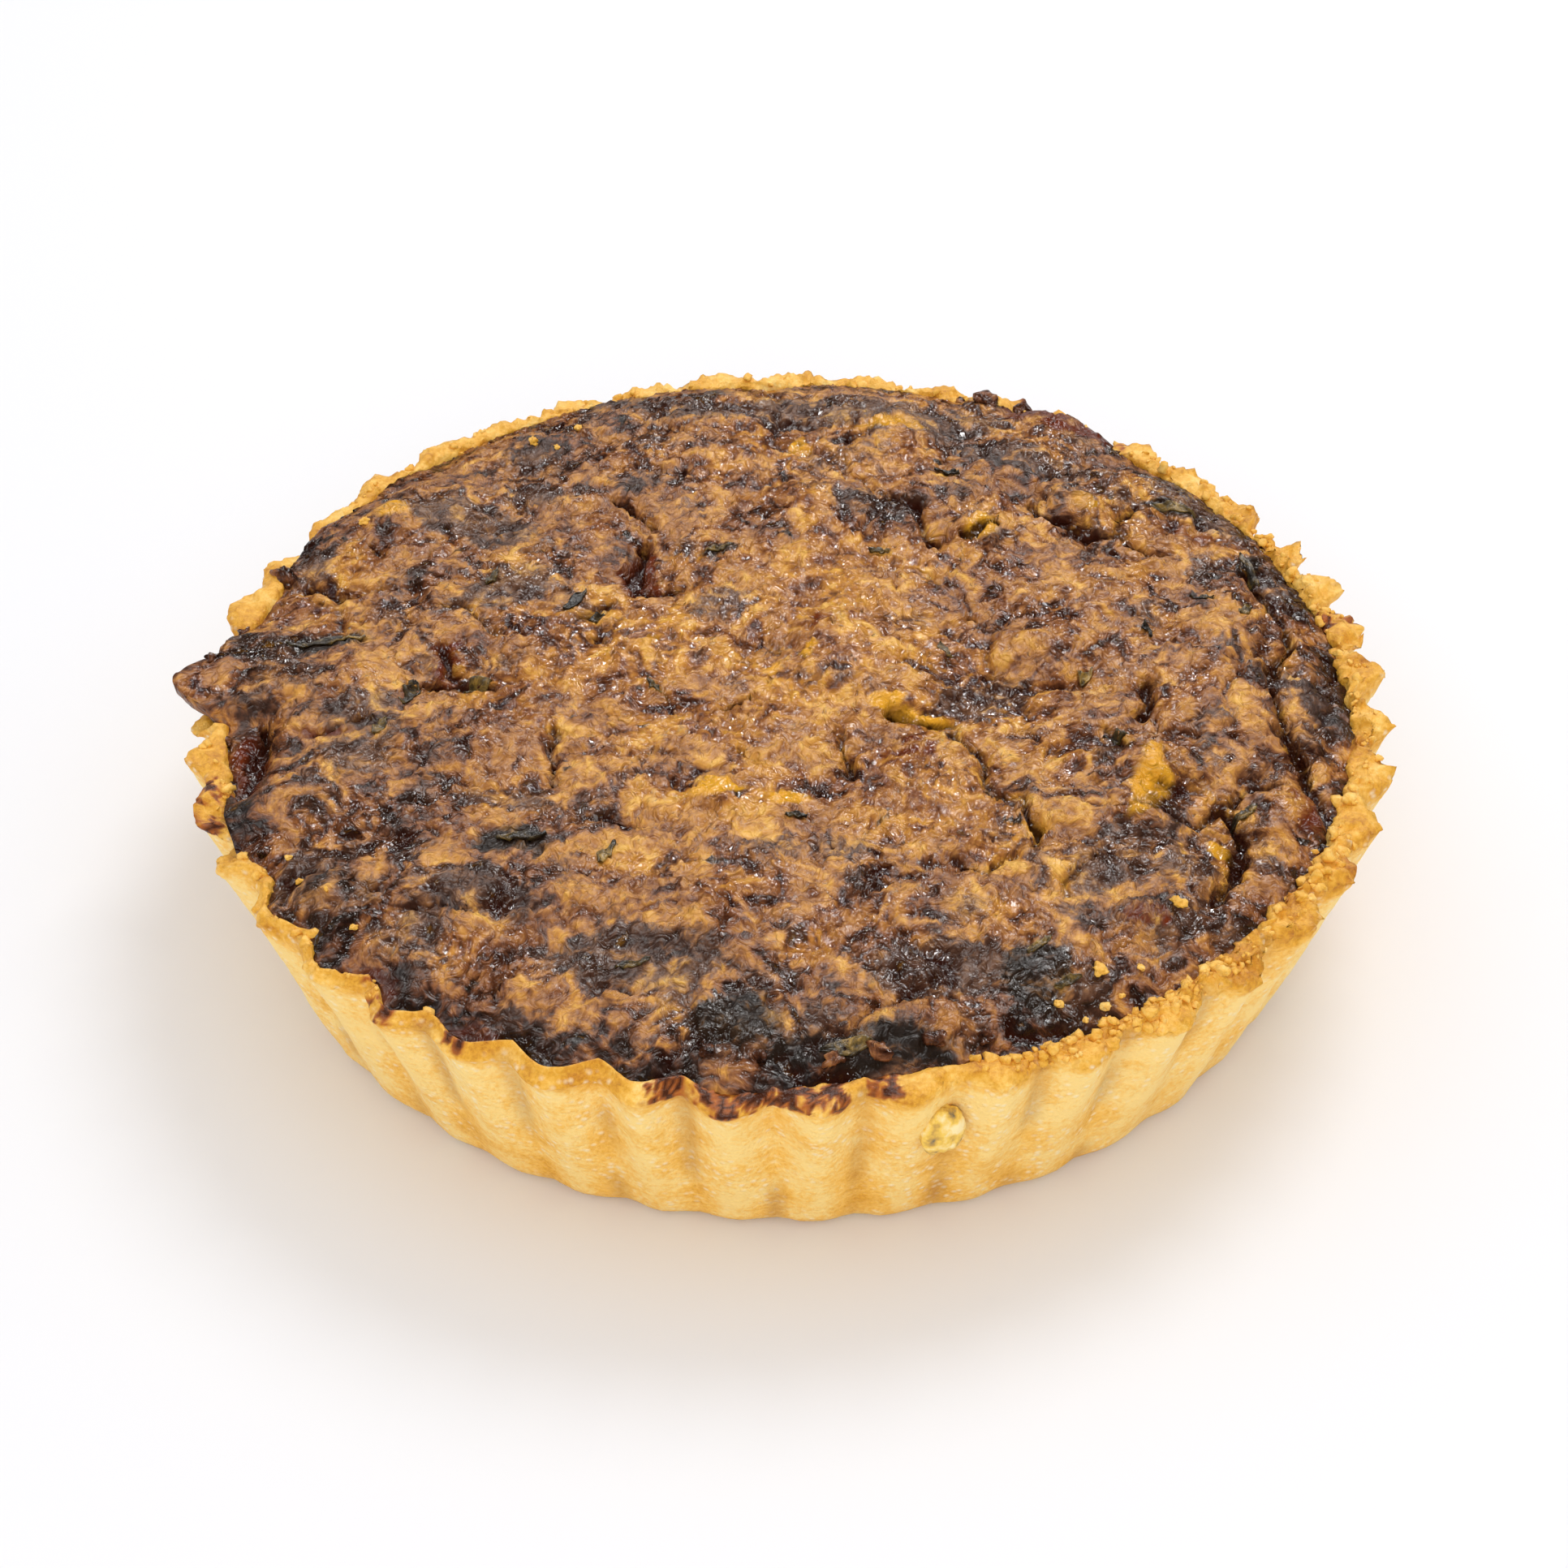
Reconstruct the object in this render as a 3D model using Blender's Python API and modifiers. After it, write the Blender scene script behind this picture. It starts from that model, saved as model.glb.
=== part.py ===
"""A whole deep quiche: a fluted pastry case full of baked egg filling.

The case is a turned body whose wall is waved into flutes and then hollowed by the filling.
The filling is a solid plug with a domed, cratered top. A bead of egg has leaked through the
wall at the front and baked there. Metres, +Z up, origin at the middle of the flat base.
"""

from math import atan2, cos, degrees, exp, hypot, pi, radians, sin, sqrt, tau

import bmesh
import bpy
from mathutils import Matrix, Vector, noise

# Driving sizes of the case, which took the form of a 10 inch deep fluted tin
RIM_RADIUS = 0.1262
BASE_RADIUS = 0.1086
RIM_HEIGHT = 0.0474
FLOOR_THICKNESS = 0.0055
BOTTOM_ROUNDING = 0.0036

# The flutes, which fade towards the base
FLUTE_COUNT = 44
COLUMNS_PER_FLUTE = 6
FLUTE_DEPTH_AT_RIM = 0.0050
FLUTE_DEPTH_AT_BASE = 0.0014
FLUTE_PHASE = radians(1.4)
# How far the flutes have slid from an even spacing, in degrees, at each angle round the case
FLUTE_DRIFT = ((0, 1.0), (35, -1.6), (65, -2.8), (95, -2.2), (130, -1.0), (170, 0.4),
               (205, -2.0), (225, -1.0), (248, 1.4), (272, 0.9), (296, 0.6), (316, -0.9),
               (331, 2.2), (347, 1.7), (360, 1.0))

# The rim, which is crumbly on top and slopes down inside the filling's edge
RIM_ROUNDING = 0.0016
RIM_SLOPE_RADIUS = 0.1120
RIM_SLOPE_DROP = 0.0100
RIM_UNEVENNESS = 0.0013

# The filling
FILLING_RADIUS_AT_RIM = 0.1180
FILLING_RADIUS_AT_FLOOR = 0.1015
FILLING_LIP_DROP = 0.0056
FILLING_EDGE_DROP = 0.0022
OVERFLOW_LIFT = 0.0042
OVERFLOW_THICKNESS = 0.0026
CROWN_HEIGHT = 0.0054
CROWN_SHARPNESS = 10
FILLING_RINGS = 22
CLEARANCE = 0.0004

# Where the filling has risen over the rim: angle in degrees, half width in degrees, reach
OVERFLOWS = ((174, 10, 0.0125), (158, 7, 0.0050), (136, 6, 0.0035), (57, 11, 0.0055),
             (268, 8, 0.0045), (203, 5, 0.0040))

# Furrows in the top: start, end, half width, depth, in millimetres
FURROWS = (
    ((102, 30), (105, 12), 4.0, 3.4), ((105, 12), (100, -8), 4.0, 3.4),
    ((100, -8), (105, -34), 5.5, 4.6), ((105, -34), (103, -54), 5.0, 4.2),
    ((-108, -10), (-111, -34), 4.0, 4.2), ((87, -43), (88, -54), 3.6, 3.0),
    ((88, -54), (82, -72), 3.6, 3.0), ((81, -48), (99, -35), 3.2, 2.4),
    ((-33, 45), (-31, 29), 3.6, 3.0), ((-72, 9), (-71, -2), 3.6, 3.0),
    ((-38, 63), (-30, 54), 3.4, 2.6), ((-104, 37), (-93, 30), 3.4, 2.4),
    ((23, 66), (31, 47), 3.4, 2.4), ((52, 60), (66, 49), 3.4, 2.4),
    ((66, 49), (77, 59), 3.4, 2.4), ((75, -6), (71, -18), 3.4, 2.4),
    ((38, -29), (47, -52), 3.4, 2.4), ((12, -21), (13, -34), 3.4, 2.0),
    ((21, -13), (32, -17), 3.4, 2.6), ((-42, 20), (-40, 9), 3.4, 2.4),
    ((-48, -19), (-48, -35), 3.4, 2.2), ((-66, 20), (-62, 12), 3.4, 2.2),
    ((-12, -11), (-8, -30), 3.4, 1.8), ((32, -62), (44, -60), 3.4, 2.0),
    ((-60, -55), (-44, -60), 4.0, 1.6), ((45, -82), (52, -104), 4.5, 1.8),
)

# Lumps of vegetable, egg and cheese that stand up in the top: place, radius, height, in mm
LUMPS = (
    (63.5, 57, 9, 3.2), (42.5, 47.6, 7, 2.8), (74, -31, 7, 3.4), (69, -46, 7, 2.8),
    (25, 91, 9, 2.0), (-87, 58, 6, 2.0), (-15, -42, 5, 1.8), (68, -77, 6, 2.4),
    (72, 68, 6, 2.4), (-114, 46, 7, 3.2), (-88, 84, 8, 2.4), (49, 112, 7, 3.4),
    (62, 103, 8, 2.8), (22, -111, 9, 2.6), (-52, 9, 11, 2.0), (-92, -72, 10, 2.0),
    (5, 55, 13, 2.0), (8, 5, 13, 1.8), (-70, -20, 12, 1.8), (52, -45, 9, 2.2),
    (52, 10, 12, 1.8), (-15, 85, 12, 1.6), (-20, -78, 13, 1.8), (88, 8, 10, 1.8),
)

# The bead of egg that leaked through the wall
LEAK_ANGLE = radians(284.0)
LEAK_HEIGHT = 0.0325
LEAK_RADIUS = 0.0052
LEAK_SINK = 0.0012

MM = 0.001
PITCH = tau / FLUTE_COUNT


def smooth_step(value):
    """Ease a value from 0 to 1."""
    value = min(max(value, 0.0), 1.0)
    return value * value * (3.0 - 2.0 * value)


def blend(low, high, share):
    """Mix two values."""
    return low + (high - low) * share


def flute_drift(angle):
    """How far the flute at this angle has slid round the case, in radians."""
    turn = degrees(angle) % 360
    for (start, low), (end, high) in zip(FLUTE_DRIFT, FLUTE_DRIFT[1:]):
        if turn <= end:
            return radians(blend(low, high, smooth_step((turn - start) / (end - start))))
    return radians(FLUTE_DRIFT[-1][1])


def flute_lobe(angle):
    """A broad round lobe with a narrow valley, from 0 in the valley to 1 on the lobe."""
    across = (angle / PITCH) % 1.0
    offset = 2.0 * min(across, 1.0 - across)
    floor = sqrt(0.1)
    return (sqrt(1.0 - 0.9 * offset * offset) - floor) / (1.0 - floor)


def wall_radius(height):
    """Radius of the case's wall over the lobes."""
    return blend(BASE_RADIUS, RIM_RADIUS, height / RIM_HEIGHT)


def flute_depth(height):
    """Depth of the flutes at a height."""
    return blend(FLUTE_DEPTH_AT_BASE, FLUTE_DEPTH_AT_RIM, smooth_step(height / RIM_HEIGHT))


def new_material(name, colour, roughness):
    """A Principled material with one colour."""
    material = bpy.data.materials.new(name)
    material.use_nodes = True
    shader = material.node_tree.nodes["Principled BSDF"]
    shader.inputs["Base Color"].default_value = (*colour, 1.0)
    shader.inputs["Roughness"].default_value = roughness
    shader.inputs["Metallic"].default_value = 0.0
    material.diffuse_color = (*colour, 1.0)
    return material


def new_object(name, mesh, collection, material=None):
    """Put a mesh in the scene as an object."""
    item = bpy.data.objects.new(name, mesh)
    collection.objects.link(item)
    if material:
        mesh.materials.append(material)
    return item


def make_cutter(item):
    """Show an object as a wire cutter only."""
    item.hide_render = True
    item.display_type = "WIRE"
    return item


def cut(item, cutter):
    """Take the cutter out of an object."""
    boolean = item.modifiers.new("cut " + cutter.name, "BOOLEAN")
    boolean.operation = "DIFFERENCE"
    boolean.solver = "EXACT"
    boolean.object = cutter


def case_profile():
    """Half section of the case's body at +X, from the middle of its top down to its foot."""
    rounding = BOTTOM_ROUNDING
    points = [
        (0.0, RIM_HEIGHT - RIM_SLOPE_DROP),
        (RIM_SLOPE_RADIUS, RIM_HEIGHT - RIM_SLOPE_DROP),
        (blend(RIM_SLOPE_RADIUS, RIM_RADIUS, 0.62), RIM_HEIGHT - 0.3 * RIM_ROUNDING),
        (RIM_RADIUS - 0.0022, RIM_HEIGHT),
        (wall_radius(RIM_HEIGHT - RIM_ROUNDING), RIM_HEIGHT - RIM_ROUNDING),
        (wall_radius(RIM_HEIGHT * 0.5), RIM_HEIGHT * 0.5),
    ]
    for turn in (0.0, 45.0):
        angle = radians(turn)
        points.append((wall_radius(rounding) - rounding * (1.0 - cos(angle)),
                       rounding * (1.0 - sin(angle))))
    points.append((BASE_RADIUS - rounding, 0.0))
    points.append((0.0, 0.0))
    return points


def spun_mesh(name, profile, steps):
    """Turn a half section once round the Z axis with a Screw modifier."""
    outline = bpy.data.meshes.new(name + " section")
    edges = [(i, i + 1) for i in range(len(profile) - 1)]
    outline.from_pydata([(x, 0.0, z) for x, z in profile], edges, [])
    helper = new_object(name + " section", outline, bpy.context.scene.collection)
    screw = helper.modifiers.new("turn", "SCREW")
    screw.steps = steps
    screw.render_steps = steps
    screw.use_merge_vertices = True
    screw.merge_threshold = 0.00001
    bpy.context.view_layer.update()
    turned = helper.evaluated_get(bpy.context.evaluated_depsgraph_get())
    mesh = bpy.data.meshes.new_from_object(turned)
    mesh.name = name
    bpy.data.objects.remove(helper)
    bpy.data.meshes.remove(outline)
    return mesh


def wave_wall(mesh, growth):
    """Wave the turned body into flutes, roughen its rim, and let it grow by a clearance."""
    for vertex in mesh.vertices:
        x, y, z = vertex.co
        radius = hypot(x, y)
        if radius < MM:
            continue
        angle = atan2(y, x) % tau
        wall_share = smooth_step(1.0 - (wall_radius(z) - radius) / 0.012)
        rim_share = smooth_step((z / RIM_HEIGHT - 0.85) / 0.15) * wall_share
        place = Vector((cos(angle), sin(angle), 0.0))
        unevenness = noise.noise(place * 7.0) + 0.7 * noise.noise(place * 19.0)
        sway = noise.noise(place * 4.0 + Vector((9.0, 0.0, 0.0)))
        radius -= wall_share * flute_depth(z) * (1.0 - flute_lobe(angle))
        radius += wall_share * 0.0012 * sway * z / RIM_HEIGHT
        z += rim_share * RIM_UNEVENNESS * unevenness
        turned = angle + FLUTE_PHASE + flute_drift(angle + FLUTE_PHASE) * wall_share
        radius += growth
        vertex.co = (radius * cos(turned), radius * sin(turned), z)


def overflow_reach(angle):
    """How far the filling reaches past its own edge at an angle."""
    turn = degrees(angle) % 360
    reach = 0.0
    for middle, half_width, length in OVERFLOWS:
        away = (turn - middle + 180) % 360 - 180
        reach = max(reach, length * smooth_step(1.0 - abs(away) / half_width))
    return reach


def furrow_depth(x, y):
    """Depth of the furrows at a place on the filling, in millimetres."""
    deepest = 0.0
    for (x0, y0), (x1, y1), half_width, depth in FURROWS:
        dx, dy = x1 - x0, y1 - y0
        along = min(max(((x - x0) * dx + (y - y0) * dy) / (dx * dx + dy * dy), 0.0), 1.0)
        away = hypot(x - x0 - along * dx, y - y0 - along * dy)
        deepest = max(deepest, depth * exp(-(away / half_width) ** 2))
    return deepest


def lump_height(x, y):
    """Height that the lumps add at a place on the filling, in millimetres."""
    added = 0.0
    for middle_x, middle_y, radius, height in LUMPS:
        away = hypot(x - middle_x, y - middle_y) / radius
        added = max(added, height * smooth_step(1.35 - away))
    return added


def overflow_lift(reach, share):
    """How far the filling rises to pass over the rim."""
    return OVERFLOW_LIFT * smooth_step(reach / 0.0045) * share ** 8


def filling_height(x, y, share):
    """Height of the filling's top at a place; share runs from 0 in the middle to 1 at the edge."""
    crown = (CROWN_HEIGHT + FILLING_EDGE_DROP) * (1.0 - share ** CROWN_SHARPNESS)
    level = RIM_HEIGHT - FILLING_EDGE_DROP + crown
    place = Vector((x, y, 0.0))
    swell = 1.5 * noise.noise(place / 0.024) + 1.0 * noise.noise(place / 0.011)
    relief = swell + lump_height(x / MM, y / MM) - furrow_depth(x / MM, y / MM)
    return level + relief * MM * blend(1.0, 0.55, smooth_step((share - 0.85) / 0.15))


def disc_place(a, b):
    """Map a place in the square from -1 to 1 to the round disc, square ring to round ring."""
    if abs(a) < 1e-6 and abs(b) < 1e-6:
        return 0.0, 0.0
    if abs(a) >= abs(b):
        angle = pi / 4 * (b / a)
        return a, angle
    angle = pi / 2 - pi / 4 * (a / b)
    return b, angle


def filling_mesh(name, growth):
    """The filling as one closed plug, larger all round by a clearance when it is a cutter."""
    work = bmesh.new()
    bmesh.ops.create_grid(work, x_segments=2 * FILLING_RINGS, y_segments=2 * FILLING_RINGS, size=1.0)
    edge_loop = [edge for edge in work.edges if edge.is_boundary]
    for vertex in work.verts:
        share, angle = disc_place(vertex.co.x, vertex.co.y)
        if share < 0.0:
            share, angle = -share, angle + pi
        overflow = overflow_reach(angle)
        reach = FILLING_RADIUS_AT_RIM + overflow * share ** 12 + growth
        x, y = share * reach * cos(angle), share * reach * sin(angle)
        vertex.co = (x, y, filling_height(x, y, share) + overflow_lift(overflow, share) + growth)
    levels = (
        (None, None),
        (FILLING_RADIUS_AT_RIM - 0.0018, RIM_HEIGHT - FILLING_LIP_DROP),
        (FILLING_RADIUS_AT_FLOOR, FLOOR_THICKNESS),
    )
    for radius, height in levels:
        sides = bmesh.ops.extrude_edge_only(work, edges=edge_loop)["geom"]
        edge_loop = [part for part in sides if isinstance(part, bmesh.types.BMEdge) and part.is_boundary]
        for vertex in (part for part in sides if isinstance(part, bmesh.types.BMVert)):
            angle = atan2(vertex.co.y, vertex.co.x)
            if radius is None:
                vertex.co.z -= OVERFLOW_THICKNESS + 2.0 * growth
                vertex.co -= 0.0004 * Vector((cos(angle), sin(angle), 0.0))
            else:
                reach = radius + growth
                vertex.co = (reach * cos(angle), reach * sin(angle), height - growth)
    bmesh.ops.contextual_create(work, geom=edge_loop)
    bmesh.ops.triangulate(work, faces=work.faces)
    bmesh.ops.recalc_face_normals(work, faces=work.faces)
    mesh = bpy.data.meshes.new(name)
    work.to_mesh(mesh)
    work.free()
    return mesh


def case_mesh(name, growth):
    """The fluted body of the case without its hollow."""
    mesh = spun_mesh(name, case_profile(), FLUTE_COUNT * COLUMNS_PER_FLUTE)
    wave_wall(mesh, growth)
    return mesh


def leak_mesh(name):
    """A lumpy bead, wider than it is thick, pressed on the wall."""
    work = bmesh.new()
    bmesh.ops.create_icosphere(work, subdivisions=3, radius=LEAK_RADIUS)
    for vertex in work.verts:
        vertex.co *= 1.0 + 0.22 * noise.noise(vertex.co / 0.0035)
    flatten = Matrix.Diagonal((0.62, 0.92, 1.08, 1.0))
    out = wall_radius(LEAK_HEIGHT) - LEAK_SINK
    place = Matrix.Translation((out * cos(LEAK_ANGLE), out * sin(LEAK_ANGLE), LEAK_HEIGHT))
    bmesh.ops.transform(work, matrix=place @ Matrix.Rotation(LEAK_ANGLE, 4, "Z") @ flatten, verts=work.verts)
    mesh = bpy.data.meshes.new(name)
    work.to_mesh(mesh)
    work.free()
    return mesh


def new_collection(name):
    """A collection in the scene."""
    collection = bpy.data.collections.new(name)
    bpy.context.scene.collection.children.link(collection)
    return collection


def build():
    """Make the case, its filling and the leaked bead."""
    for item in list(bpy.data.objects):
        bpy.data.objects.remove(item)
    parts = new_collection("quiche")
    cutters = new_collection("cutters")
    pastry = new_material("baked shortcrust", (0.79, 0.49, 0.17), 0.72)
    egg = new_material("browned egg filling", (0.25, 0.105, 0.028), 0.42)
    leaked_egg = new_material("leaked egg", (0.80, 0.62, 0.26), 0.45)

    crust = new_object("crust", case_mesh("crust", 0.0), parts, pastry)
    new_object("filling", filling_mesh("filling", 0.0), parts, egg)
    leak = new_object("egg_leak", leak_mesh("egg_leak"), parts, leaked_egg)

    hollow = make_cutter(new_object("hollow", filling_mesh("hollow", CLEARANCE), cutters))
    wall_stop = make_cutter(new_object("wall_stop", case_mesh("wall_stop", CLEARANCE), cutters))
    cut(crust, hollow)
    cut(leak, wall_stop)


if __name__ == "__main__":
    build()
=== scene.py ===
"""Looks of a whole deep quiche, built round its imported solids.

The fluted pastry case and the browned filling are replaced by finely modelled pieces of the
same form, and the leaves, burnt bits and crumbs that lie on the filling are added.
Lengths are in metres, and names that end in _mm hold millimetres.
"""

import logging
from collections.abc import Callable
from dataclasses import dataclass, field
from enum import Enum
from functools import partial
from itertools import product
from math import cos, pi, radians, sin, sqrt, tau

import bmesh
import bpy
import numpy as np
from mathutils import Matrix, Vector, noise
from mathutils.bvhtree import BVHTree


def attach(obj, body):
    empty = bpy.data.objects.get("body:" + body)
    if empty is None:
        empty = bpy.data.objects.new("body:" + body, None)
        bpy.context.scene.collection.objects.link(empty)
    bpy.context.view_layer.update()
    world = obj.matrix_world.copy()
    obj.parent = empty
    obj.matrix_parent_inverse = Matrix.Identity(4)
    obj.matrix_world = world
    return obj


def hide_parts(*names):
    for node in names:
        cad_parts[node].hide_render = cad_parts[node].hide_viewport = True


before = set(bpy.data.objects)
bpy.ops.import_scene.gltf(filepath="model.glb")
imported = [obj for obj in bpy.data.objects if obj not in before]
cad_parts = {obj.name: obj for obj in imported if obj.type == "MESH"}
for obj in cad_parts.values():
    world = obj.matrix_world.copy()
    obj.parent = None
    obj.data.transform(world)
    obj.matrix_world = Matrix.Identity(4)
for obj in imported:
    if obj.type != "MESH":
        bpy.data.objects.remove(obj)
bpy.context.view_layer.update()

LOG = logging.getLogger("quiche")
MM = 0.001


class Slot(Enum):
    """The record's material slots."""

    PASTRY = "pastry"
    FILLING = "egg_filling"
    LEAK = "leaked_egg"


def linear_colour(code: str) -> tuple[float, float, float, float]:
    """Turn an sRGB hex colour into linear red, green, blue and alpha.

    Args:
        code: Six hex digits after a hash sign.

    Returns:
        The linear colour with an alpha of 1.
    """
    channels = (int(code[i:i + 2], 16) / 255 for i in (1, 3, 5))
    linear = (c / 12.92 if c <= 0.04045 else ((c + 0.055) / 1.055) ** 2.4 for c in channels)
    return (*linear, 1.0)


def add_node(tree: bpy.types.NodeTree, kind: str, inputs: dict | None = None,
             stops: tuple = (), **settings: object) -> bpy.types.Node:
    """Add a shader node with its settings and links.

    Args:
        tree: The node tree that gets the node.
        kind: Blender's name for the node's type, without ShaderNode at its start.
        inputs: Socket name or index to a value, to the socket that feeds it, or to the node
            whose first output feeds it.
        stops: Place and hex colour of each stop, for a colour ramp.
        settings: The node's own properties.

    Returns:
        The new node.
    """
    node = tree.nodes.new("ShaderNode" + kind)
    for name, value in settings.items():
        setattr(node, name, value)
    for place, code in stops[:-2]:
        node.color_ramp.elements.new(place)
    for element, (place, code) in zip(node.color_ramp.elements if stops else (), stops):
        element.position = place
        element.color = linear_colour(code)
    for socket, value in (inputs or {}).items():
        if isinstance(value, bpy.types.Node):
            value = value.outputs[0]
        if isinstance(value, bpy.types.NodeSocket):
            tree.links.new(value, node.inputs[socket])
        else:
            node.inputs[socket].default_value = value
    return node


def smooth_step(value: np.ndarray) -> np.ndarray:
    """Ease values from 0 to 1."""
    value = np.clip(value, 0.0, 1.0)
    return value * value * (3.0 - 2.0 * value)


@dataclass(frozen=True)
class Field:
    """A smooth random field whose features have a real size.

    The same field gives the same values each time.
    """

    size_mm: float
    seed: int
    octaves: int = 1
    gain: float = 0.5

    def layer(self, spots_mm: np.ndarray, size_mm: float, seed: int) -> np.ndarray:
        """One octave of gradient noise.

        Args:
            spots_mm: Places, one row each.
            size_mm: Size of the lattice's cells.
            seed: Chooses the pattern.

        Returns:
            A value from about -1 to 1 for each place.
        """
        slopes = np.random.default_rng(seed).normal(size=(512, 3))
        slopes /= np.linalg.norm(slopes, axis=1, keepdims=True)
        scaled = spots_mm / size_mm + 91.7
        cell = np.floor(scaled).astype(np.int64)
        part = scaled - cell
        ease = part ** 3 * (part * (part * 6.0 - 15.0) + 10.0)
        total = np.zeros(len(scaled))
        for corner in product((0, 1), repeat=3):
            spot = cell + corner
            key = (spot[:, 0] * 73856093 ^ spot[:, 1] * 19349663 ^ spot[:, 2] * 83492791) & 511
            weight = np.prod(np.where(np.array(corner) == 1, ease, 1.0 - ease), axis=1)
            total += weight * np.einsum("ij,ij->i", slopes[key], part - corner)
        return 1.7 * total

    def mix(self, spots_mm: np.ndarray, bend: Callable) -> np.ndarray:
        """Weighted mean of the octaves, each bent first."""
        total, weight, share = 0.0, 0.0, 1.0
        for octave in range(self.octaves):
            layer = self.layer(spots_mm, self.size_mm / 2 ** octave, self.seed + octave)
            total = total + share * bend(layer)
            weight += share
            share *= self.gain
        return total / weight

    def at(self, spots_mm: np.ndarray) -> np.ndarray:
        """The field's value at each place, from about -1 to 1."""
        return self.mix(spots_mm, lambda layer: layer)

    def pillows(self, spots_mm: np.ndarray) -> np.ndarray:
        """Round swellings with sharp creases between them, from about -0.5 to 0.5."""
        return self.mix(spots_mm, lambda layer: np.sqrt(np.abs(layer) + 0.002)) - 0.5


def cells(spots_mm: np.ndarray, size_mm: float, seed: int) -> tuple[np.ndarray, np.ndarray, np.ndarray]:
    """Nearest of one random point in each cell of a lattice.

    Args:
        spots_mm: Places, one row each.
        size_mm: Size of a cell.
        seed: Chooses the points.

    Returns:
        The distance to the nearest point and how much farther the next one is, in cells, and
        a random number from 0 to 1 that belongs to the nearest point.
    """
    chance = np.random.default_rng(seed).random((1024, 4))
    scaled = spots_mm / size_mm + 57.3
    cell = np.floor(scaled).astype(np.int64)
    nearest, second = np.full(len(scaled), 9.0), np.full(len(scaled), 9.0)
    mark = np.zeros(len(scaled))
    for step in product((-1, 0, 1), (-1, 0, 1), (-1, 0, 1)):
        spot = cell + step
        key = (spot[:, 0] * 73856093 ^ spot[:, 1] * 19349663 ^ spot[:, 2] * 83492791) & 1023
        away = np.linalg.norm(spot + chance[key, :3] - scaled, axis=1)
        closer = away < nearest
        second = np.where(closer, nearest, np.minimum(second, away))
        mark = np.where(closer, chance[key, 3], mark)
        nearest = np.minimum(nearest, away)
    return nearest, second - nearest, mark


def arc_share(angles: np.ndarray, middle: float, half_width: float) -> np.ndarray:
    """1 at an angle in degrees, easing to 0 at a half width from it."""
    gap = (np.degrees(angles) - middle + 180.0) % 360.0 - 180.0
    return smooth_step(1.0 - np.abs(gap) / half_width)


# Where the filling has risen over the rim: angle in degrees, half width in degrees, reach
OVERFLOWS = ((178.5, 7, 0.0115), (173.5, 8, 0.0038), (56, 10, 0.0022), (201, 8, 0.0028),
             (152, 11, 0.0017), (265, 11, 0.0014))


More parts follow.
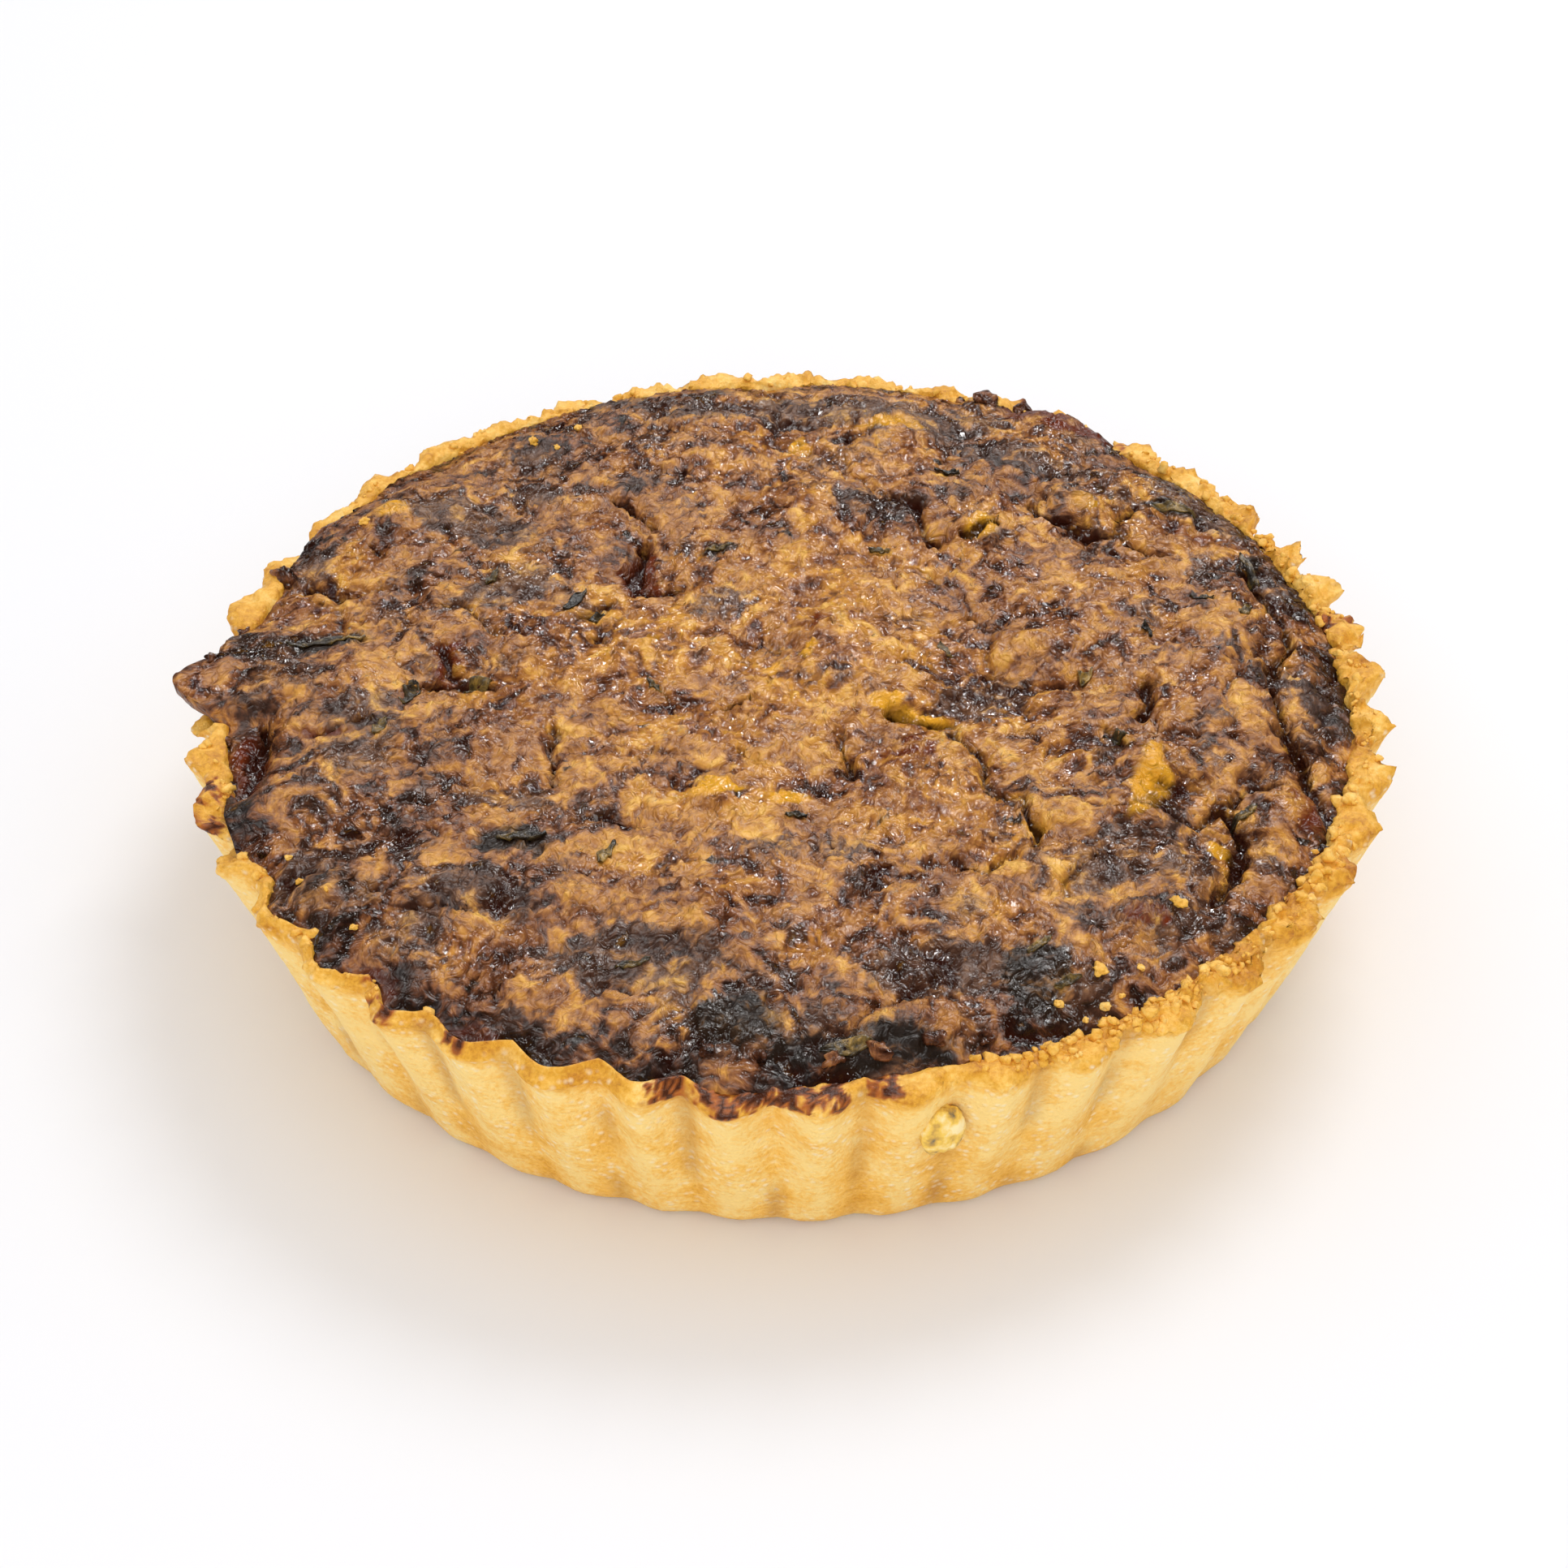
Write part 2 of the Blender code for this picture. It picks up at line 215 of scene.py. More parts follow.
@dataclass(frozen=True)
class CaseForm:
    """The form that a fluted tin gives the case, which its filling follows."""

    count: int = 44
    rim_radius: float = 0.1262
    base_radius: float = 0.1086
    rim_height: float = 0.0474
    depth_at_rim: float = 0.0046
    depth_at_base: float = 0.0012
    phase: float = radians(1.4)
    inner_radius: float = 0.1176
    ribbon_thickness: float = 0.0030
    drift: tuple = ((0, 1.0), (35, -1.6), (65, -2.8), (95, -2.2), (130, -1.0), (170, 0.4),
                    (205, -1.2), (219, 0.6), (230, 1.2), (248, 1.4), (272, 0.9), (296, 0.8),
                    (310, 2.4), (320, 3.0), (331, 2.2), (347, 1.7), (360, 1.0))

    def drift_at(self, angles: np.ndarray) -> np.ndarray:
        """How far the flutes have slid round the case at each angle, in radians."""
        turns = np.degrees(angles) % 360.0
        result = np.zeros(len(turns))
        for (start, low), (end, high) in zip(self.drift, self.drift[1:]):
            share = smooth_step((turns - start) / (end - start))
            result = np.where((turns >= start) & (turns <= end), low + (high - low) * share, result)
        return np.radians(result)

    def place(self, flute_angles: np.ndarray) -> np.ndarray:
        """Angle round the case of each angle counted in even flutes."""
        even = flute_angles + self.phase
        return even + self.drift_at(even)

    def flute_angle(self, angles: np.ndarray) -> np.ndarray:
        """Angle counted in even flutes at each angle round the case."""
        even = angles - self.drift_at(angles)
        return angles - self.drift_at(even) - self.phase

    def lobe(self, flute_angles: np.ndarray) -> np.ndarray:
        """The flutes' wave, from 0 in a valley to 1 on a lobe, more pointed at the right."""
        across = (flute_angles * self.count / tau) % 1.0
        offset = 2.0 * np.minimum(across, 1.0 - across)
        soft = 0.5 + 0.5 * np.cos(pi * offset)
        full = (np.sqrt(1.0 - 0.8 * offset ** 2.4) - sqrt(0.2)) / (1.0 - sqrt(0.2))
        right = arc_share(flute_angles, 2, 60)
        saw = 1.0 - np.abs(across - 0.12 - np.round(across - 0.12)) * 2.0
        wave = 0.78 * soft + 0.22 * full
        return wave + 0.38 * right * (np.clip(saw, 0.0, 1.0) - wave)

    def lobe_strength(self, flute_angles: np.ndarray) -> np.ndarray:
        """How deep the flutes are next to each lobe, since no two baked alike."""
        turns = flute_angles * self.count / tau
        ring = np.stack([np.cos(flute_angles), np.sin(flute_angles), 0 * turns], axis=1) * 20.0
        return 1.0 + 0.45 * Field(3.0, 3).at(ring)

    def outer(self, flute_angles: np.ndarray, heights: np.ndarray) -> np.ndarray:
        """Radius of the outer wall.

        Args:
            flute_angles: Angles counted in even flutes.
            heights: Height of each place.

        Returns:
            The radius at each place.
        """
        share = np.clip(heights / self.rim_height, 0.0, 1.0)
        depth = self.depth_at_base + (self.depth_at_rim - self.depth_at_base) * smooth_step(share)
        angles = flute_angles + self.phase
        front = arc_share(angles, 268, 60)
        right = arc_share(angles, 5, 60)
        back = arc_share(angles, 98, 60)
        depth = depth * self.lobe_strength(flute_angles) * (1.0 + 0.55 * right * share - 0.25 * back)
        radius = self.base_radius + (self.rim_radius - self.base_radius) * share
        radius = radius - 0.0012 * front * share + 0.0006 * right * share
        return radius - depth * (1.0 - self.lobe(flute_angles))

    def inner(self, flute_angles: np.ndarray) -> np.ndarray:
        """Radius of the rim's inner edge, which follows the flutes where the rim is thin."""
        angles = flute_angles + self.phase
        ribbon = smooth_step(1.6 * arc_share(angles, 233, 38))
        thin = self.outer(flute_angles, np.full(len(angles), self.rim_height)) - self.ribbon_thickness
        front, back = arc_share(angles, 285, 40), smooth_step(1.5 * arc_share(angles, 105, 70))
        broad = self.inner_radius - 0.0004 * front + 0.0020 * back
        return broad * (1.0 - ribbon) + thin * ribbon


CASE = CaseForm()


def overflow_reach(angles: np.ndarray) -> np.ndarray:
    """How far the filling reaches past its own edge at each angle."""
    reach = np.zeros(len(angles))
    ring = np.stack([np.cos(angles), np.sin(angles), 0.0 * angles], axis=1) * 118.0
    ragged = 1.0 + 0.12 * Field(9, 301, 3, 0.6).at(ring)
    for middle, half_width, length in OVERFLOWS:
        reach = np.maximum(reach, length * arc_share(angles, middle, half_width))
    return reach * ragged


@dataclass(frozen=True)
class Finish:
    """A finish that makes its own material."""

    name: str

    def start(self) -> tuple[bpy.types.Material, Callable, bpy.types.NodeSocket]:
        """Make an empty material.

        Returns:
            The material, add_node for its own tree, and the socket of the object's coordinates.
        """
        material = bpy.data.materials.new(self.name)
        material.use_nodes = True
        material.node_tree.nodes.clear()
        put = partial(add_node, material.node_tree)
        return material, put, put("TexCoord").outputs["Object"]

    def end(self, put: Callable, inputs: dict) -> None:
        """Close the material with a Principled shader that has these inputs."""
        shader = put("BsdfPrincipled", inputs)
        put("OutputMaterial", {"Surface": shader})


@dataclass(frozen=True)
class BakedShortcrust(Finish):
    """Butter shortcrust baked in a tin.

    Flour and butter bake to a dry, pale gold with small blisters, and the thin rim browns
    first. The eye sees a matt, faintly greasy surface with fine crumb.
    """

    name: str = "baked shortcrust pastry"
    tones: tuple = ((0.0, "#ffdb88"), (0.22, "#fac35a"), (0.42, "#eaaa34"), (0.64, "#cd8822"),
                    (0.84, "#a35a18"), (1.0, "#6f3512"))
    crumb_mm: float = 1.0
    blotch_mm: float = 8.0
    blister_mm: float = 2.0
    # The valley mark is partly brown streaks and partly painted shade down the flute valleys
    marks: tuple = (("valley_stain_and_shade", 0.38, "#a97c50"), ("juice", 1.8, "#b4601c"), ("soak", 0.94, "#3a190e"))

    def material(self) -> bpy.types.Material:
        """Build the material.

        Returns:
            The pastry's material.
        """
        material, put, spot = self.start()
        blotch = put("TexNoise", {"Vector": spot, "Scale": 1 / (self.blotch_mm * MM), "Detail": 7.0,
                                  "Roughness": 0.64})
        crumb = put("TexNoise", {"Vector": spot, "Scale": 1 / (self.crumb_mm * MM), "Detail": 4.0,
                                 "Roughness": 0.62})
        brown = put("Attribute", attribute_name="brown")
        level = put("Math", {0: blotch, 1: 1.0, 2: -0.50}, operation="MULTIPLY_ADD")
        fine = put("Math", {0: crumb, 1: 0.5, 2: -0.25}, operation="MULTIPLY_ADD")
        both = put("Math", {0: level, 1: fine})
        tone = put("Math", {0: brown.outputs["Fac"], 1: both})
        ramp = put("ValToRGB", {"Fac": tone}, stops=self.tones)
        blister = put("TexVoronoi", {"Vector": spot, "Scale": 1 / (self.blister_mm * MM),
                                     "Randomness": 1.0})
        here = put("Attribute", attribute_name="pimple")
        dome = put("MapRange", {"Value": blister, "From Min": 0.40, "From Max": 0.12, "To Max": 0.62})
        dot = put("Math", {0: dome, 1: here.outputs["Fac"]}, operation="MULTIPLY")
        dotted = put("Mix", {0: dot, 6: ramp, 7: linear_colour("#ffefcb")}, data_type="RGBA")
        colour = dotted.outputs[2]
        for name, strength, code in self.marks:
            share = put("Attribute", attribute_name=name)
            part = put("Math", {0: share.outputs["Fac"], 1: strength}, operation="MULTIPLY",
                       use_clamp=True)
            mixed = put("Mix", {0: part, 6: colour, 7: linear_colour(code)}, data_type="RGBA")
            colour = mixed.outputs[2]
        grain = put("Math", {0: crumb, 1: 0.6, 2: blotch}, operation="MULTIPLY_ADD")
        height = put("Math", {0: dot, 1: 0.35, 2: grain}, operation="MULTIPLY_ADD")
        bump = put("Bump", {"Height": height, "Strength": 0.7, "Distance": 0.0010})
        film = put("Attribute", attribute_name="soak")
        rough = put("MapRange", {"Value": film.outputs["Fac"], "To Min": 0.55, "To Max": 0.24})
        self.end(put, {"Base Color": colour, "Roughness": rough, "IOR": 1.45,
                       "Specular IOR Level": 0.35, "Normal": bump})
        return material


@dataclass(frozen=True)
class BrownedCustard(Finish):
    """Egg and cheese custard with vegetables, browned hard in the oven.

    The skin is mottled from ochre to violet brown, glistens where fat and juice have come
    up, and is nearly black at the edge and in the cracks, where the dark is partly painted shade.
    """

    name: str = "browned egg custard"
    mottle_mm: float = 8.0
    fleck_mm: float = 1.6
    wrinkle_mm: float = 3.0
    tones: tuple = ((0.0, "#1f0e08"), (0.18, "#472616"), (0.30, "#683c22"), (0.40, "#84502d"),
                    (0.50, "#9a6332"), (0.60, "#ae7337"), (0.78, "#cc8e3a"), (1.0, "#e8b04e"))
    bloom: tuple = ((0.0, "#241610"), (0.35, "#4a2f22"), (0.60, "#6e4b35"), (1.0, "#98704a"))
    # The near-black blend in cracks, creases, folds and pits is partly juice and partly painted shade
    blends: tuple = (("leaf", "#251b14"), ("yolk", "#e8a62c"), ("rust", "#6b2a0f"), ("wet_and_shade", "#2e0f07"))

    def material(self) -> bpy.types.Material:
        """Build the material.

        Returns:
            The filling's material.
        """
        material, put, spot = self.start()
        mottle = put("TexNoise", {"Vector": spot, "Scale": 1 / (self.mottle_mm * MM), "Detail": 5.0,
                                  "Roughness": 0.55, "Distortion": 1.3})
        fleck = put("TexNoise", {"Vector": spot, "Scale": 1 / (self.fleck_mm * MM), "Detail": 4.0,
                                 "Roughness": 0.62})
        wrinkle = put("TexNoise", {"Vector": spot, "Scale": 1 / (self.wrinkle_mm * MM), "Detail": 2.0,
                                   "Roughness": 0.45, "Distortion": 1.2})
        tone = put("Attribute", attribute_name="tone")
        wide = put("MapRange", {"Value": mottle, "From Min": 0.36, "From Max": 0.64, "To Min": -0.27,
                                "To Max": 0.27}, clamp=False)
        small = put("Math", {0: fleck, 1: 0.30, 2: -0.40}, operation="MULTIPLY_ADD")
        # The wrinkle and fleck noises that bump the skin also lighten its crests and darken its hollows:
        # partly painted light and shade
        crest = put("Math", {0: wrinkle, 1: 0.5, 2: small}, operation="MULTIPLY_ADD")
        both = put("Math", {0: wide, 1: crest})
        level = put("Math", {0: both, 1: tone.outputs["Fac"]})
        skin = put("ValToRGB", {"Fac": level}, stops=self.tones)
        dark = put("ValToRGB", {"Fac": level}, stops=self.bloom)
        purple = put("Attribute", attribute_name="purple")
        sway = put("Math", {0: both, 1: -1.0, 2: purple.outputs["Fac"]}, operation="MULTIPLY_ADD")
        patch = put("MapRange", {"Value": sway, "From Min": 0.34, "From Max": 0.80})
        mixed = put("Mix", {0: patch, 6: skin, 7: dark}, data_type="RGBA")
        colour = mixed.outputs[2]
        for name, code in self.blends:
            share = put("Attribute", attribute_name=name)
            ragged = put("Math", {0: both, 1: -0.7, 2: share.outputs["Fac"]}, operation="MULTIPLY_ADD")
            edge = put("MapRange", {"Value": ragged, "From Min": 0.25, "From Max": 0.85,
                                    "To Max": 0.94})
            mixed = put("Mix", {0: edge, 6: colour, 7: linear_colour(code)}, data_type="RGBA")
            colour = mixed.outputs[2]
        gloss = put("Attribute", attribute_name="gloss")
        greasy = put("Math", {0: both, 1: -0.8, 2: gloss.outputs["Fac"]}, operation="MULTIPLY_ADD")
        rough = put("MapRange", {"Value": greasy, "From Min": 0.26, "From Max": 0.68, "To Min": 0.50,
                                 "To Max": 0.10})
        coarse = put("Bump", {"Height": wrinkle, "Strength": 1.0, "Distance": 0.0016})
        fine = put("Bump", {"Height": fleck, "Strength": 0.5, "Distance": 0.0004, "Normal": coarse})
        self.end(put, {"Base Color": colour, "Roughness": rough, "IOR": 1.45,
                       "Specular IOR Level": 0.38, "Normal": fine})
        return material


@dataclass(frozen=True)
class BakedGreens(Finish):
    """Spinach that baked to a leathery, nearly black green with a greasy gleam."""

    name: str = "baked spinach"
    tones: tuple = ((0.30, "#1c140a"), (0.45, "#352811"), (0.55, "#57441d"), (0.66, "#80642b"),
                    (0.78, "#a5823a"))
    leaf_mm: float = 14.0
    vein_mm: float = 2.38

    def material(self) -> bpy.types.Material:
        """Build the material.

        Returns:
            The leaves' material.
        """
        material, put, spot = self.start()
        vein = put("TexNoise", {"Vector": spot, "Scale": 1 / (self.vein_mm * MM), "Detail": 5.0,
                                "Roughness": 0.62, "Distortion": 0.8})
        apart = put("TexNoise", {"Vector": spot, "Scale": 1 / (self.leaf_mm * MM), "Detail": 1.0})
        tone = put("Math", {0: apart, 1: 0.9, 2: -0.45}, operation="MULTIPLY_ADD")
        both = put("Math", {0: tone, 1: vein})
        ramp = put("ValToRGB", {"Fac": both}, stops=self.tones)
        bump = put("Bump", {"Height": vein, "Strength": 0.8, "Distance": 0.0008})
        self.end(put, {"Base Color": ramp, "Roughness": 0.34, "IOR": 1.45, "Normal": bump})
        return material


@dataclass(frozen=True)
class SetEgg(Finish):
    """Custard that leaked out and set against the tin: pale, smooth and flecked with green."""

    name: str = "set egg"
    tones: tuple = ((0.32, "#756b55"), (0.41, "#c79c48"), (0.52, "#f0c552"), (0.66, "#f8e3a8"))
    fleck_mm: float = 3.03

    def material(self) -> bpy.types.Material:
        """Build the material.

        Returns:
            The leaked bead's material.
        """
        material, put, spot = self.start()
        blotch = put("TexNoise", {"Vector": spot, "Scale": 1 / (self.fleck_mm * MM), "Detail": 4.0})
        ramp = put("ValToRGB", {"Fac": blotch}, stops=self.tones)
        bump = put("Bump", {"Height": blotch, "Strength": 0.4, "Distance": 0.0006})
        self.end(put, {"Base Color": ramp, "Roughness": 0.42, "IOR": 1.42, "Normal": bump})
        return material


@dataclass(frozen=True)
class StudioFloor(Finish):
    """Matt white studio paper."""

    name: str = "white studio paper"
    white: str = "#e9e9ec"
    grain_mm: float = 1.11

    def material(self) -> bpy.types.Material:
        """Build the material of the floor."""
        material, put, spot = self.start()
        grain = put("TexNoise", {"Vector": spot, "Scale": 1 / (self.grain_mm * MM)})
        bump = put("Bump", {"Height": grain, "Strength": 0.05, "Distance": 0.0001})
        self.end(put, {"Base Color": linear_colour(self.white), "Roughness": 0.9,
                       "Specular IOR Level": 0.1, "Normal": bump})
        return material


@dataclass
class Piece:
    """What every visible piece of the quiche has in common."""

    name: str
    slot: Slot
    finish: Finish
    replaces: tuple[str, ...] = ()
    item: bpy.types.Object | None = None

    def shape(self, work: bmesh.types.BMesh) -> None:
        """Build the piece's faces in an empty bmesh."""
        raise NotImplementedError

    def sculpt(self, spots: np.ndarray) -> tuple[np.ndarray, dict[str, np.ndarray]]:
        """Move the vertices and give the shares that the finish reads.

        Args:
            spots: Vertex places in metres, one row each.

        Returns:
            The new places, and the values of each attribute.
        """
        return spots, {}

    def close(self, mesh: bpy.types.Mesh) -> None:
        """Merge seams and poles, and turn all faces outwards."""
        work = bmesh.new()
        work.from_mesh(mesh)
        bmesh.ops.remove_doubles(work, verts=work.verts, dist=0.000002)
        bmesh.ops.dissolve_degenerate(work, edges=work.edges, dist=0.0000001)
        bmesh.ops.recalc_face_normals(work, faces=work.faces)
        work.to_mesh(mesh)
        work.free()

    def build(self) -> bpy.types.Object:
        """Make the piece, dress it and give it to the frame.

        Returns:
            The finished object.
        """
        work = bmesh.new()
        self.shape(work)
        mesh = bpy.data.meshes.new(self.name)
        work.to_mesh(mesh)
        work.free()
        spots = np.empty(len(mesh.vertices) * 3, dtype=np.float32)
        mesh.vertices.foreach_get("co", spots)
        places, shares = self.sculpt(spots.reshape(-1, 3).astype(float))
        mesh.vertices.foreach_set("co", places.astype(np.float32).ravel())
        for name, values in shares.items():
            layer = mesh.attributes.new(name, "FLOAT", "POINT")
            layer.data.foreach_set("value", values.astype(np.float32))
        self.close(mesh)
        mesh.shade_smooth()
        mesh.update()
        mesh.materials.append(self.finish.material())
        self.item = bpy.data.objects.new(self.name, mesh)
        bpy.context.scene.collection.objects.link(self.item)
        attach(self.item, "root")
        if self.replaces:
            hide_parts(*self.replaces)
        LOG.info("%s: %d faces", self.name, len(mesh.polygons))
        return self.item


# Values for the parts of the case's section that don't lie across the rim
FOOT, WALL, LIP, HOLLOW = -1.0, 0.0, 2.0, 3.0

# Where the rim tore: angle and half width in degrees, and how badly
TEARS = ((318, 42, 1.0), (12, 60, 1.0), (90, 70, 0.6), (214, 26, 0.6))

# Where juice ran over the rim: angle and half width in degrees, how far down it ran, strength
JUICE = ((196, 6, 0.0040, 0.92), (230, 6, 0.0022, 1.0), (262, 9, 0.0032, 1.14),
         (270, 9, 0.0036, 1.14), (278, 3, 0.0020, 1.05), (57, 14, 0.0050, 1.0),
         (12, 2.5, 0.0015, 1.0), (239, 3, 0.0010, 1.0))


@dataclass
class Crust(Piece):
    """The fluted pastry case."""

    columns: int = CASE.count * 26
    bottom_rounding: float = 0.0036
    rim_rounding: float = 0.0014
    hollow_floor: float = 0.0380
    hollow_gap: float = 0.0030
    wall_step: float = 0.0010
    rim_points: int = 12
    wall_sway: float = 0.0007
    wall_ripple: float = 0.0003
    wall_grain: float = 0.0001
    foot_ripple: float = 0.0005
    rim_sway: float = 0.0010
    crumb_height: float = 0.0018
    clod_height: float = 0.0020
    tear_depth: float = 0.0016
    crumb_reach: float = 0.0022
    clod_reach: float = 0.0017
    crest_height: float = 0.0008
    ribbon_bulge: float = 0.0013
    overflow_dip: float = 0.0050

    def section(self) -> np.ndarray:
        """Half section from the middle of the foot, up the wall and down inside the rim.

        Returns:
            For each point: height, how far in it lies from the wall, and its share of the way
            across the rim, or the value of the part that it belongs to.
        """
        foot = self.bottom_rounding
        points = [(0.0, share, FOOT) for share in (0.0, 0.3, 0.6, 0.85, 0.94)]
        points += [(foot * (1.0 - cos(angle)), foot * (1.0 - sin(angle)), WALL)
                   for angle in np.radians((0, 30, 60, 90))]
        top = CASE.rim_height - self.rim_rounding
        points += [(z, 0.0, WALL) for z in np.arange(foot + self.wall_step, top, self.wall_step)]
        points += [(top + self.rim_rounding * sin(angle), self.rim_rounding * (1.0 - cos(angle)), WALL)
                   for angle in np.radians((0, 30, 60))]
        points += [(CASE.rim_height, self.rim_rounding, share)
                   for share in np.linspace(0.08, 1.0, self.rim_points)]
        drops = (0.0006, 0.0014, 0.0024, 0.0036, 0.0050, 0.0066, 0.0082)
        points += [(CASE.rim_height - drop, drop, LIP) for drop in drops]
        points += [(self.hollow_floor, share, HOLLOW) for share in (0.9, 0.6, 0.3, 0.0)]
        return np.array(points)

    def shape(self, work: bmesh.types.BMesh) -> None:
        """Lay out a sheet that is rolled up into the case."""
        rows = len(self.section()) - 1
        bmesh.ops.create_grid(work, x_segments=self.columns, y_segments=rows, size=1.0)

    def sculpt(self, spots: np.ndarray) -> tuple[np.ndarray, dict[str, np.ndarray]]:
        """Roll up the sheet, wave the wall, roughen the rim, and mark the browned pastry and its painted
        light and shade.
        """
        section = self.section()
        row = np.rint((spots[:, 1] + 1.0) / 2.0 * (len(section) - 1)).astype(int)
        flute_angle = (spots[:, 0] + 1.0) * pi % tau
        z, inward, across = section[row].T
        angle = CASE.place(flute_angle)
        lobe = CASE.lobe(flute_angle)
        outer = CASE.outer(flute_angle, z)
        inner = CASE.inner(flute_angle)
        on_rim = (across > 0.0) & (across <= 1.0)
        radius = outer - inward - (outer - inward - inner) * np.where(on_rim, across, 0.0)
        radius = np.where(across == LIP, inner - 0.35 * inward, radius)
        radius = np.where(across == HOLLOW, (inner - self.hollow_gap) * inward, radius)
        radius = np.where(across == FOOT, (outer - self.bottom_rounding) * inward, radius)

        place = np.stack([radius * np.cos(angle), radius * np.sin(angle), z], axis=1) / MM
        wall = smooth_step(z / 0.004) * (across == WALL)
        rim = smooth_step((z / CASE.rim_height - 0.86) / 0.14) * (across < HOLLOW)
        back = arc_share(angle, 98, 70)
        ribbon = arc_share(angle, 248, 24)
        torn = np.max([depth * arc_share(angle, middle, half) for middle, half, depth in TEARS], axis=0)
        rough = rim * (0.45 + 0.75 * torn - 0.35 * ribbon)
        crumbs = Field(3.4, 11, 3, 0.7).at(place)
        clods = 0.45 - cells(place, 2.6, 19)[0]
        tears = smooth_step((Field(11, 13, 2).at(place) - 0.18) / 0.25)

        out = wall * self.wall_sway * Field(30, 5).at(place)
        out += wall * self.wall_ripple * Field(7, 6, 3, 0.6).at(place)
        out += wall * self.wall_grain * Field(1.6, 8, 2, 0.6).at(place)
        near_foot = smooth_step(1.0 - z / 0.006) * (across == WALL)
        out += near_foot * self.foot_ripple * Field(6, 27, 3, 0.6).at(place)
        bulge = np.exp(-((z - CASE.rim_height + 0.0012) / 0.0014) ** 2) * (across <= WALL)
        out += ribbon * self.ribbon_bulge * bulge
        out += rough * (self.crumb_reach * Field(4.1, 14, 3, 0.65).at(place) + self.clod_reach * clods)
        lift = rim * self.rim_sway * Field(24, 12).at(place)
        lift += rough * (self.crumb_height * crumbs + self.clod_height * clods - self.tear_depth * tears)
        crest = 1.0 - np.abs(2.0 * np.clip(across, 0.0, 1.0) - 1.0) ** 2.5
        lift += rim * on_rim * self.crest_height * crest * (1.0 - 0.6 * back + ribbon)
        lift -= rim * self.overflow_dip * smooth_step(overflow_reach(angle) / 0.0040)

        radius = np.where(across == HOLLOW, radius, radius + out)
        result = np.stack([radius * np.cos(angle), radius * np.sin(angle), z + lift], axis=1)
        # Deeper gold towards the foot: partly a painted warm reflection, as from a gold board under the
        # quiche
        brown = 0.05 + 0.10 * smooth_step((1.0 - z / CASE.rim_height) / 0.9)
        # Paler rim at the back: partly painted light, since the inner side of the back rim faces away
        # from the main lamps
        brown += rim * (0.34 - 0.14 * back + 0.07 * arc_share(angle, 318, 50))
        brown += rim * (0.20 * crumbs + 0.30 * Field(9, 15, 2).at(place))
        brown += wall * (0.12 * Field(16, 16, 3).at(place) + 0.10 * Field(45, 29).at(place))
        # Flute valleys browner and lobes paler: partly golden pastry in the valleys, partly painted shade
        # in the valleys and painted highlight on the lobes
        brown += wall * 0.16 * (0.55 - lobe) * (1.0 - rim)
        # Darker down the flute valleys: partly brown streaks and partly painted shade
        patchy = smooth_step(0.5 + 1.5 * Field(19, 18).at(place))
        valley_stain_and_shade = wall * smooth_step((0.45 - lobe) / 0.45) * patchy
        pimple = smooth_step(0.5 + 2.2 * Field(11, 17, 3, 0.6).at(place))
        stain = self.juice(angle, z, place)
        return result, {"brown": brown, "valley_stain_and_shade": valley_stain_and_shade, "pimple": pimple * wall,
                        "juice": stain, "soak": smooth_step((stain - 0.55) / 0.45)}

    def juice(self, angle: np.ndarray, z: np.ndarray, place: np.ndarray) -> np.ndarray:
        """Where filling boiled over the rim and stained the pastry in specks."""
        stain = np.zeros(len(angle))
        speck = 0.9 * Field(2.6, 24, 3, 0.7).at(place) + 0.5 * Field(6, 28, 2).at(place)
        for middle, half_width, reach, strength in JUICE:
            there = smooth_step(1.5 * arc_share(angle, middle, half_width))
            there = there * smooth_step((z - CASE.rim_height + 1.3 * reach) / reach)
            level = smooth_step((strength * there + speck - 0.80) / 0.5)
            stain = np.maximum(stain, level * (there > 0.02))
        return stain


